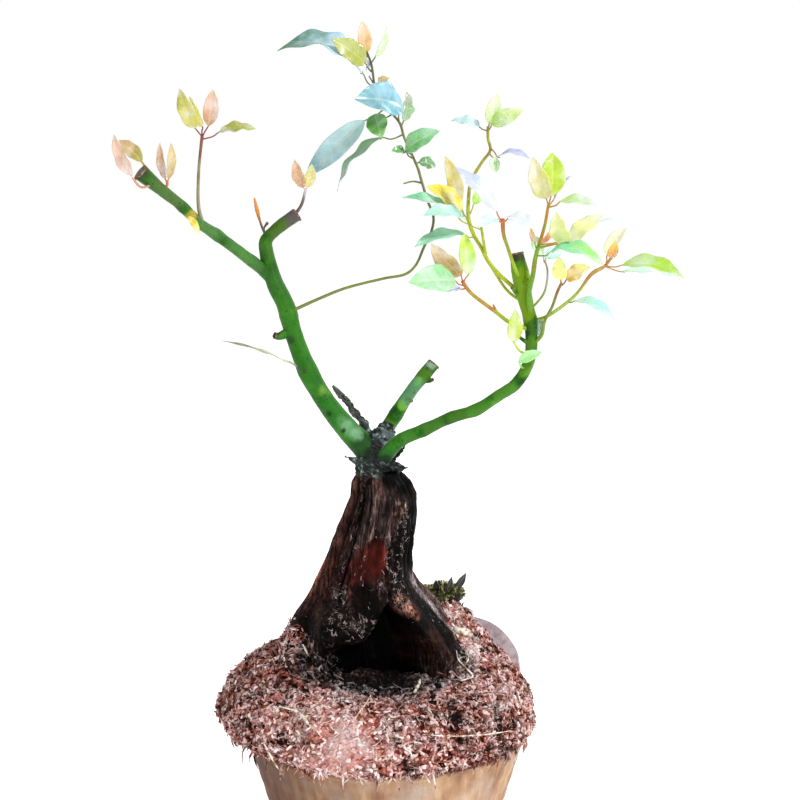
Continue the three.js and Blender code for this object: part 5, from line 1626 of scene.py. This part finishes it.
# %% The long shoot
shoots |= {
    "shoot_long": (("#737c38", "#54502c"), [
        ([(-80, 9, 494), (-55, 2, 506), (-34, -4, 515), (-1, -10, 524), (17, -12, 528), (25, -12, 535),
         (32, -8, 550), (38, -4, 562), (40, 0, 574), (35, 6, 588), (30, 12, 604), (27, 16, 614),
         (18, 22, 634), (15, 24, 641), (12, 26, 651), (4, 28, 661), (-8, 30, 678), (-12, 30, 700),
         (-16, 30, 711)], [1.5, 1.15, 1.1, 1.15, 1.1, 0.9]),
        ([(30, 12, 602), (23, 16, 603), (15, 19, 601)], [0.9, 0.7, 0.6]),
    ], [
        ((-8, 30, 679), (-19, 33, 692), (-91, 30, 711), 30, (0.1, -0.5, 0.86),
         ("#b4d4e8", "#1f7a58", "#8fc832"), 19),
        ((-12, 30, 694), (-17, 27, 701), (-45, 14, 721), 19, (-0.3, -0.8, 0.5),
         ("#a2a81e", "#b3bc58", "#7f9a2c"), 3),
        ((-15, 30, 706), (-17, 30, 709), (-20, 31, 736), 12, (0.3, -1, 0), ("#dca83a", "#efc092")),
        ((-13, 30, 700), (-9, 34, 706), (1, 42, 731), 8, (0.8, -0.5, 0.2), ("#b8cc8c", "#dfe6d4")),
        ((-10, 30, 684), (-14, 38, 690), (-21, 50, 708), 9, (0.7, -0.7, 0.2), ("#d8dcf4", "#e6e6f6")),
        ((-9, 30, 680), (-6, 26, 683), (3, 18, 689), 9, (0.1, -0.9, 0.5), ("#c9a452", "#dcc084")),
        ((11, 27, 653), (14, 16, 664), (-25, -14, 672), 31, (0, -0.85, 0.5),
         ("#72b6cc", "#62a4b0", "#2f8f3a"), 6),
        ((6, 28, 659), (-9, 14, 659), (-3, 4, 640), 18, (0, -1, -0.3), ("#3f9a16", "#64b234"), 2),
        ((13, 26, 648), (15, 29, 653), (18, 36, 677), 13, (0.75, -0.65, 0.1), ("#7fae74", "#9a9c86")),
        ((1, 29, 665), (-18, 36, 653), (-69, 54, 605), 20, (0.2, -0.9, 0.4),
         ("#a4ccce", "#84b8c4", "#5aa07c"), 4),
        ((15, 24, 642), (-3, 32, 639), (-42, 50, 591), 17, (-0.72, -0.3, 0.62), ("#7cba78", "#bcc0d2"), 7),
        ((23, 19, 622), (17, 8, 629), (45, -2, 646), 17, (-0.2, -0.85, 0.4), ("#54ab48", "#8ac694"), 5),
        ((23, 19, 622), (17, 14, 628), (5, 8, 629), 9, (0, -0.7, 0.7), ("#45963a", "#5cac46")),
        ((25, 18, 618), (28, 22, 619), (42, 28, 615), 11, (0.1, -0.8, 0.5), ("#36841a", "#50982c")),
    ]),
}

# %% Shoots on the right limb
shoots |= {
    "shoot_copper": (("#98a81c", "#b0602c"), [
        ([(120, -17, 482), (102, -28, 490), (91, -34, 499), (69, -44, 517), (63, -48, 526)],
         [1.9, 1.7, 1.6, 1.5]),
        ([(92, -33, 498), (89, -32, 505)], [1.4, 1.1, 0.7]),
    ], [
        ((64, -47, 525), (62, -50, 531), (37, -58, 558), 17, (-0.4, -0.9, 0), ("#b48c40", "#d0b070")),
        ((64, -47, 525), (68, -44, 531), (64, -38, 564), 14, (0.2, -1, 0), ("#b0dc20", "#c4e444")),
        ((65, -46, 522), (57, -54, 527), (19, -74, 528), 24, (0.1, -0.85, 0.5),
         ("#8cc888", "#a0d89c", "#c8d838")),
        ((66, -46, 520), (62, -46, 519), (48, -44, 517), 7, (0, -0.6, 0.8), ("#ccd0f2", "#c0c6f0")),
    ]),
    "shoot_yellow": (("#a8b414", "#8e7c30"), [
        ([(116, -12, 509), (96, -6, 526), (87, 0, 536), (80, 6, 549), (74, 8, 559), (70, 10, 571),
         (70, 22, 588), (73, 34, 603), (82, 40, 618), (89, 42, 628), (87, 44, 638), (87, 44, 648)],
         [1.9, 1.8, 1.7, 1.5, 1.3, 1.2]),
        ([(117, -13, 503), (103, -3, 512), (91, 3, 529), (80, 7, 549)], [1.4, 1.2, 1.2]),
        ([(84, 3, 543), (82, 1, 554), (80, -2, 566)], [1.4, 1.2, 1.1]),
    ], [
        ((70, 10, 570), (61, 12, 582), (50, 16, 624), 14, (0.4, -0.9, 0), ("#c0aa38", "#ccbc58")),
        ((70, 10, 570), (64, 2, 581), (34, -12, 601), 17, (0.1, -0.8, 0.6), ("#dccc10", "#e8d634")),
        ((71, 10, 567), (60, -3, 575), (14, -22, 592), 18, (0, -0.4, 0.9),
         ("#90d8ac", "#6cbc90", "#b4e8e0"), 5),
        ((80, -2, 564), (66, -18, 575), (31, -40, 579), 19, (0.1, -0.5, 0.85), ("#a8e4c8", "#98dcc4"), 4),
        ((75, 8, 557), (67, -6, 560), (24, -28, 552), 17, (0, -0.4, 0.9), ("#94dcb0", "#80cca0", "#b8e4e8"),
         4),
        ((71, 13, 576), (74, 14, 584), (84, 18, 599), 9, (0.2, -0.8, 0.5), ("#b4e04e", "#98d43c")),
        ((87, 44, 644), (88, 45, 650), (95, 48, 675), 13, (0.1, -1, 0), ("#c4dc7c", "#d8e49a")),
        ((87, 44, 644), (90, 42, 650), (116, 30, 662), 14, (0.2, -0.9, 0.3), ("#b6d468", "#d0e09a")),
        ((87, 44, 644), (80, 50, 647), (56, 60, 652), 14, (0, -0.45, 0.9), ("#d4eaf4", "#bce2e0")),
        ((89, 42, 630), (95, 38, 622), (122, 22, 621), 11, (0.1, -0.4, 0.9), ("#bcc0ea", "#b0b8e8"), 5),
        ((88, 42, 626), (91, 40, 622), (94, 38, 609), 9, (0.2, -1, 0), ("#c8eaba", "#bce6b2")),
    ]),
    "shoot_orange_top": (("#8cb018", "#b8642c"), [
        ([(114, -12, 520), (106, -24, 537), (101, -30, 551), (97, -34, 563), (96, -36, 576)],
         [1.8, 1.5, 1.4, 1.8]),
    ], [
        ((96, -36, 573), (91, -35, 582), (57, -22, 617), 15, (0.4, -0.75, 0.5), ("#cdd0ee", "#bcc4e8")),
        ((96, -36, 573), (101, -38, 578), (122, -56, 569), 15, (0, -0.6, 0.8), ("#e6eefa", "#dce8fa")),
        ((96, -36, 573), (92, -40, 576), (74, -52, 570), 12, (0, -0.6, 0.8), ("#cdecee", "#dcf0f0")),
    ]),
    "shoot_round": (("#6aa01c", "#b8761c"), [
        ([(122, -16, 490), (119, -24, 512), (122, -27, 529), (124, -28, 544), (131, -30, 570),
         (134, -30, 588)], [2.4, 2.1, 2, 1.4, 1.2]),
    ], [
        ((134, -30, 586), (132, -32, 592), (120, -44, 627), 17, (-0.3, -0.9, 0), ("#ccc858", "#dcd080")),
        ((134, -30, 586), (136, -28, 594), (137, -22, 629), 21, (0.1, -1, 0.1), ("#bed62c", "#b0ca24")),
        ((134, -30, 586), (139, -26, 592), (155, -10, 610), 6, (-0.6, -0.4, 0.6), ("#b0bac4", "#ccd0d8")),
        ((134, -30, 585), (143, -36, 590), (173, -52, 587), 14, (0, -0.5, 0.86), ("#b8dc78", "#e4eaec")),
        ((125, -28, 548), (128, -33, 556), (137, -40, 569), 6, (0.5, -0.8, 0), ("#d06f14", "#e4983a")),
        ((125, -28, 548), (123, -32, 556), (119, -38, 569), 5, (-0.3, -0.9, 0), ("#c98420", "#d4aa36")),
        ((126, -28, 551), (147, -44, 556), (138, -60, 584), 17, (-0.4, -0.8, 0.3), ("#e4e88c", "#d4d688")),
        ((126, -28, 551), (150, -40, 558), (178, -48, 580), 15, (-0.3, -0.8, 0.5), ("#ecf09a", "#e4e4bc")),
        ((127, -29, 554), (150, -22, 557), (191, 0, 573), 10, (-0.2, -0.4, 0.9), ("#bec6ea", "#c8e0f4")),
        ((124, -28, 545), (135, -46, 550), (176, -70, 541), 17, (0, -0.5, 0.86), ("#7cd8a4", "#9cdc68"), 9),
    ]),
    "shoot_reaching": (("#88a020", "#b07438"), [
        ([(121, -17, 489), (134, -8, 491), (152, 4, 501), (162, 10, 509), (175, 16, 525), (186, 20, 531),
         (193, 22, 539)], [1.7, 1.5, 1.4, 1.2, 1.8, 0.8]),
    ], [
        ((186, 20, 531), (201, 19, 532), (251, 2, 523), 20, (0, -0.5, 0.86), ("#a8d00c", "#98c018"), 7),
        ((186, 20, 531), (202, 30, 525), (255, 46, 516), 11, (0, -0.4, 0.9), ("#c4e4d0", "#b0c9c6")),
        ((187, 20, 532), (188, 24, 539), (206, 34, 563), 14, (-0.6, -0.7, 0.3), ("#eceec0", "#f0e8d2")),
        ((187, 20, 532), (190, 14, 539), (194, 8, 553), 9, (0.1, -1, 0.2), ("#d89420", "#e8c038")),
        ((154, 5, 502), (159, -1, 504), (190, -26, 491), 15, (0.1, -0.4, 0.9), ("#96e4b8", "#bcecf0"), 5),
    ]),
    "shoot_lower": (("#6e9020", "#9a5a2c"), [
        ([(122, -17, 468), (130, -24, 478), (132, -28, 490), (138, -31, 503), (142, -34, 516),
         (145, -36, 523)], [1.6, 1.4, 1.2, 1.2]),
    ], [
        ((145, -36, 521), (144, -39, 526), (142, -48, 546), 12, (-0.2, -0.95, 0), ("#eef08c", "#e8e868")),
        ((145, -36, 521), (149, -36, 526), (168, -42, 537), 14, (0, -0.8, 0.6), ("#e8bc3a", "#d6cf68")),
    ]),
    "shoot_thin": (("#7e9a3c", "#b8a8a0"), [
        ([(120, -15, 497), (134, 4, 511), (137, 14, 528), (135, 20, 536)], [1.1, 0.9, 0.8]),
    ], [
        ((135, 20, 534), (136, 22, 538), (150, 34, 541), 12, (0.2, -0.7, 0.7), ("#9ce0c4", "#b0e4cc")),
        ((135, 20, 534), (134, 24, 540), (126, 36, 556), 10, (-0.4, -0.8, 0.4), ("#c8e8c2", "#b8e0b0")),
    ]),
}

# %% Single leaves
shoots |= {
    "leaf_hanging": (("#8ab020", "#c0d446"), [
        ([(119, -20, 461), (111, -29, 466), (106, -33, 474)], [1.2, 1, 0.9]),
    ], [
        (None, (106, -33, 474), (107, -40, 502), 13, (0.1, -1, 0), ("#c0d446", "#b2c842")),
    ]),
    "leaf_wrapping": (("#7aa838", "#a8e092"), [
        ([(119, -20, 449), (113, -26, 452), (111, -30, 457)], [1.3, 1.1, 0.9]),
    ], [
        (None, (111, -30, 457), (130, -31, 465), 10, (0, -0.8, 0.6), ("#a8e092", "#9ad87e"), 1),
    ]),
    "leaf_small": (("#7e9a50", "#c8c8d0"), [
        ([(123, -17, 474), (130, -10, 475)], [1.2, 0.9]),
    ], [
        (None, (130, -10, 475), (131, -5, 490), 8, (-0.5, -0.8, 0), ("#d4d4ea", "#ccd4e2")),
    ]),
}

print("shoots and single leaves:", len(shoots))

# %% Leaves and shoots
leaf_thickness = 0.45
leaf_fold = 0.32
usual_arch = 0.08
stalk_radius = 0.75
# Stalks shorter than this don't show, so they are left out.
shortest_stalk = 2


def blended(first, second, share):
    """Colours between two sRGB hex values, one for each share."""
    first, second = np.array(linear(first)[:3]), np.array(linear(second)[:3])
    return first + (second - first) * np.clip(share, 0, 1)[:, None]


def leaf(row, seed, finish):
    """The mesh of one leaf blade from a row of the table."""
    _, base, tip, width, face, tones, *arch = row
    draw = np.random.default_rng(seed)
    along = np.subtract(tip, base).astype(float)
    length = np.linalg.norm(along)
    along /= length
    face = np.array(face) - np.dot(face, along) * along
    face /= np.linalg.norm(face)
    side = np.cross(face, along)
    arch = arch[0] if arch else usual_arch * length
    mesh = shape_from(blade, bpy.data.meshes.new("leaf"), {
        "Length": length * MM, "Width": width * MM, "Arch": arch * MM, "Fold": leaf_fold,
        "Wave": draw.uniform(0.08, 0.2), "Phase": draw.uniform(0, 6.28), "Finish": finish}, leaf_thickness)
    local = points_of(mesh)
    under = normals_of(mesh)[:, 2] < 0
    u = local[:, 1] / length
    x = local[:, 0] / width * 2
    share = smoothstep(u + 0.3 * noise(local + seed * 31, 9, 3, 2) + 0.12 * x, 0.25, 0.95)
    tone = blended(tones[0], tones[1], share)
    if len(tones) > 2:
        tone[under] = blended(tones[2], tones[1], 0.4 * share)[under]
    mark(mesh, "tone", tone)
    mark(mesh, "under", under.astype(float))
    set_points(mesh, np.array(base, float) + local @ np.array([side, along, face]))
    return mesh


def shoot(name, finish, seed):
    """The mesh of a shoot: its stems, its leaf stalks and its leaves."""
    (foot_tone, tip_tone), stems, leaves = shoots[name]
    stalks = []
    for at, base, tip, *_ in leaves:
        if at and math.dist(at, base) > shortest_stalk:
            way = (np.array(tip, float) - base) / math.dist(tip, base)
            bend = (np.array(at, float) + base) / 2 + 0.12 * math.dist(at, base) * (way - [0, 0, 0.4])
            stalks.append(([at, bend.tolist(), base, (np.array(base) + 2.5 * way).tolist()],
                           [stalk_radius * 1.1, stalk_radius * 0.8, stalk_radius * 0.8, stalk_radius * 0.5]))
    mesh = rods([*stems, *stalks], 1.5, 12, 5, 0.25, tender_stem)
    stem_points = points_of(mesh)
    foot, tip = np.array(stems[0][0][0]), np.array(stems[0][0][-1])
    reach = distance(stem_points, foot) / distance(tip, foot)
    mark(mesh, "tone", blended(foot_tone, tip_tone, smoothstep(
        reach + 0.25 * noise(stem_points, 9, seed, 2), 0.35, 1.05)))
    return joined(name, [mesh, *[leaf(row, seed * 40 + k, finish) for k, row in enumerate(leaves)]])


# %% Grow the shoots
for number, name in enumerate(shoots):
    if name == "twig_dead":
        piece(name + "_bark", shoot(name, None, number), "bark", name)
    elif name in ("shoot_long", "leaf_dead"):
        piece(name + "_grown", shoot(name, mature_leaf, number), "mature_leaf", name)
    else:
        piece(name + "_young", shoot(name, young_leaf, number), "young_leaf", name)

# %% [markdown]
# ## Paper edge, moss and roots
# A strip of grey lining paper stands behind the soil, moss grows at the back of the
# mound, and pale roots lie bare in the soil.

# %% Grey sheet
# The sheet is one thin strip along the CAD's top edge. Its rings run down the front of
# the paper and up its back, and both sides share one gentle wave.
sheet_edge = [(123, 16, 158), (121, 26, 163), (119, 33, 168), (117, 42, 182), (108, 53, 195),
              (96, 64, 203), (80, 76, 206), (64, 87, 205)]
sheet_depth = 20
sheet_thickness = 1.4
sheet_rows = 14
edge = smooth_path(sheet_edge, 1.2)
outward = edge * [1, 1, 0] - [mound_centre_x, 0, 0]
outward /= np.linalg.norm(outward, axis=1, keepdims=True)
down = np.linspace(0, 1, sheet_rows)
sheet_middle = (edge[:, None] - outward[:, None] * 0.35 * sheet_depth * down[None, :, None]
                - np.array([0, 0, sheet_depth]) * down[None, :, None])
sheet_middle = sheet_middle + outward[:, None] * (
    0.5 * noise(sheet_middle, 14, 70, 2) * down[None, :])[..., None]
wall = outward[:, None] * sheet_thickness / 2 * (0.55 + 0.45 * smoothstep(down, 0, 0.1))[None, :, None]
both_sides = np.concatenate([sheet_middle + wall, (sheet_middle - wall)[:, ::-1]], 1)
sheet_mesh = ring_mesh("sheet", both_sides[::-1])
sheet_points = points_of(sheet_mesh)
top_of_sheet = np.interp(sheet_points[:, 0], edge[::-1, 0], edge[::-1, 2])
mark(sheet_mesh, "rim", smoothstep(top_of_sheet - sheet_points[:, 2], 1.6, 0.6))
lining, tree, shader, place = new_finish("grey lining paper", 0.62)
fibrous = add(tree, "TexNoise", {"Vector": place, "Scale": per_metre(7), "Detail": 6})
paper = add(tree, "ValToRGB", {"Fac": fibrous}, [
    (0.35, "#bdb1b8"), (0.5, "#ddd1d6"), (0.65, "#f0e8ea")])
rim_mark = add(tree, "Attribute", attribute_name="rim")
edged = add(tree, "Mix", {
    0: add(tree, "Math", {0: rim_mark.outputs["Fac"], 1: 0.5}, operation="MULTIPLY"),
    6: paper, 7: linear("#6b626c")})
colour_and_relief(tree, shader, edged, fibrous, 0.3, 0.4)
sheet_mesh.materials.append(lining)
piece("paper_edge", sheet_mesh, "sheet", "soil_sheet")

# %% Moss cushion
# Moss is a cushion of tiny shoots. Lumps fused into one skin carry some hundreds of
# scattered shoots, each of them a bundle of pointed leaflets. A few coarse blades of
# grass grow through it.
moss_centre = np.array([48, 62, 229])
moss_lumps = [((-11, -2, 1), 11), ((2, 2, 3), 12), ((12, -2, 3), 10), ((-2, -7, 0), 9)]
moss_leaves = [((60, 60, 235), (71, 58, 252), 7, (0.3, -0.9, 0.2)),
               ((53, 56, 236), (58, 52, 250), 6, (0.4, -0.8, 0.3)),
               ((46, 56, 236), (44, 50, 248), 6, (-0.3, -0.8, 0.3)),
               ((38, 57, 232), (31, 50, 240), 6, (-0.4, -0.7, 0.5))]
cushion = bmesh.new()
for offset, radius in moss_lumps:
    ball = bmesh.ops.create_icosphere(cushion, subdivisions=3, radius=(radius - 1.2) * MM)["verts"]
    bmesh.ops.scale(cushion, verts=ball, vec=(1, 1, 0.85))
    bmesh.ops.translate(cushion, verts=ball, vec=Vector(moss_centre + offset) * MM)
moss_voxel = 1.1
moss_mesh = fused(mesh_from(cushion, "cushion"), moss_voxel)
moss_points = points_of(moss_mesh)
set_points(moss_mesh, moss_points + normals_of(moss_mesh) * (1.1 * noise(moss_points, 5, 80, 3))[:, None])
mark(moss_mesh, "cover", smoothstep(normals_of(moss_mesh)[:, 2], -0.3, 0.2))
print("moss cushion has", len(moss_points), "points")

# %% Moss shoots
moss_green, tree, shader, place = new_finish("cushion moss", 0.7)
own_tone = add(tree, "Attribute", attribute_name="tone")
patches = add(tree, "TexNoise", {"Vector": place, "Scale": per_metre(7), "Detail": 3})
patchy = add(tree, "Math", {0: patches, 1: 1.5, 2: -0.6}, operation="MULTIPLY_ADD")
tone = add(tree, "Math", {0: own_tone.outputs["Fac"], 1: 0.7, 2: patchy}, operation="MULTIPLY_ADD")
moss_shades = add(tree, "ValToRGB", {"Fac": tone}, [
    (0.1, "#11180a"), (0.3, "#3a4518"), (0.48, "#827f38"), (0.66, "#c2b870"), (0.9, "#ece2b8")])
colour_and_relief(tree, shader, moss_shades)
moss_mesh.materials.append(moss_green)


def moss_shoot(seed):
    """A bundle of pointed leaflets one unit high."""
    draw = np.random.default_rng(seed)
    leaflets = []
    for turn in draw.uniform(0, 6.28, 5):
        lean = draw.uniform(0.15, 0.5)
        tip = np.array([lean * math.cos(turn), lean * math.sin(turn), draw.uniform(0.6, 1)])
        side = np.array([-math.sin(turn), math.cos(turn), 0]) * 0.09
        thick = np.array([math.cos(turn), math.sin(turn), 0]) * 0.05
        low, waist = np.array([0, 0, -0.2]), tip * [0.5, 0.5, 0.55]
        rings = [[low + 0.5 * side, low + 0.5 * thick, low - 0.5 * side, low - 0.5 * thick],
                 [waist + side, waist + thick, waist - side, waist - thick],
                 [tip + 0.1 * side, tip + 0.1 * thick, tip - 0.1 * side, tip - 0.1 * thick]]
        leaflets.append(ring_mesh("leaflet", np.array(rings) / MM))
    return joined("moss_shoot", leaflets)


bundles = shape_set("moss_shoots", [moss_shoot(seed) for seed in range(90, 95)])
tufts = scattered(moss_mesh, bundles, 420000, 9, (2.2, 2.2, 2.0), (3.6, 3.6, 4.2), 0.4, moss_green)

# %% Blades in the moss
grass_blade = leaf_finish("rough grass blade", 0.6, 1.42, 0.05, 0.0, 0.05)
spikes = [leaf((None, base, tip, width, face, ("#1c3410", "#4c6424", "#2c4418")), 95 + k, grass_blade)
          for k, (base, tip, width, face) in enumerate(moss_leaves)]
piece("moss_cushion", joined("moss", [moss_mesh, tufts, *spikes]), "moss", "moss")

# %% Ragged fringe
# Shreds hang over the rim all round, bent down by their own weight.
fringe_shreds = 230
fringe_draw = np.random.default_rng(12)
fringe = []
for turn in fringe_draw.uniform(0, 2 * math.pi, fringe_shreds):
    start = mound_points(fringe_draw.uniform(0.3, 2.0), turn)
    away = np.array([math.cos(turn), math.sin(turn), 0])
    along_rim = np.array([-math.sin(turn), math.cos(turn), 0]) * fringe_draw.uniform(-6, 6)
    drop = fringe_draw.uniform(3, 17) * fringe_draw.uniform(0.4, 1)
    thick = fringe_draw.uniform(0.3, 1.1)
    fringe.append((
        [start - 5 * away + [0, 0, 2], start - 1.5 * away,
         start - 1.0 * away + 0.5 * along_rim - [0, 0, 0.5 * drop],
         start - 2.5 * away + along_rim - [0, 0, drop]], [thick, thick, 0.8 * thick, 0.3 * thick]))
fringe_mesh = rods(fringe, 2.0, 6, 3, 0.5, coir_chip)
# The tone of a shred shifts every few millimetres.
mark(fringe_mesh, "tone", np.clip(0.5 + 0.5 * noise(points_of(fringe_mesh), 6, 33, 2), 0, 1))
piece("rim_fringe", weathered(fringe_mesh), "soil")

# %% Bare roots and straw
# Thin roots and straws cross the soil in front, one hangs over the rim and two lie by the
# hollow. The short thick one is a chip of bare wood on the right root.
bare_roots = [
    ([(-88, -95, 179.5), (-80, -101, 179.5), (-73, -106, 179), (-67, -112, 176.5), (-62.6, -118, 172.5),
      (-53, -126, 167)], [0.4, 0.7, 1.1, 1.2, 0.8, 0.3]),
    ([(-62.6, -118, 173), (-61, -120.5, 170.5), (-66, -122, 167.5)], [0.7, 0.7, 0.4]),
    ([(-100.6, -105.4, 153), (-95.5, -112, 146), (-90.5, -112.5, 136.5), (-84, -111, 126)],
     [0.4, 0.8, 0.8, 0.4]),
    ([(29, -47, 187), (28, -57, 186), (24, -72, 184)], [0.8, 1.5, 1.0]),
    ([(60, -33, 208), (61.5, -34, 201), (66, -37, 196), (72, -41, 191), (73.5, -45, 189), (64, -52, 187.5)],
     [0.4, 0.6, 0.8, 0.8, 0.6, 0.4]),
    ([(69, -30, 206), (70.5, -31, 200.5), (67, -36, 195.5)], [0.4, 0.7, 0.6]),
    ([(59, -8, 221), (63, -11, 219), (68, -10, 217), (74, -8, 215)], [2, 3.8, 4.2, 2]),
    ([(-12.1, -82, 185), (-14, -97, 186), (-17, -108, 184.5), (-21, -117.5, 182), (-27, -126, 176)],
     [0.3, 0.5, 0.7, 0.6, 0.3]),
    ([(31, -124, 165.5), (52, -117, 161.5), (77, -103, 157.5), (92, -91, 155), (104, -77, 152)],
     [0.3, 0.4, 0.5, 0.5, 0.3]),
    ([(-70.5, -41, 216), (-68, -42.5, 212), (-65.5, -44, 207)], [0.5, 1.0, 0.6]),
]
bare_root, tree, shader, place = new_finish("bare root", 0.6)
earthy = add(tree, "TexNoise", {"Vector": place, "Scale": per_metre(5), "Detail": 4})
root_shades = add(tree, "ValToRGB", {"Fac": earthy}, [
    (0.37, "#8f6a4c"), (0.48, "#dccbb2"), (0.6, "#fbf6ec")])
colour_and_relief(tree, shader, root_shades)
piece("bare_roots", rods(bare_roots, 1.2, 10, 4, 0.5, bare_root), "soil")

# %% [markdown]
# ## End
# The finished model stays inside the imported model's box.

# %% End
print("scene built")
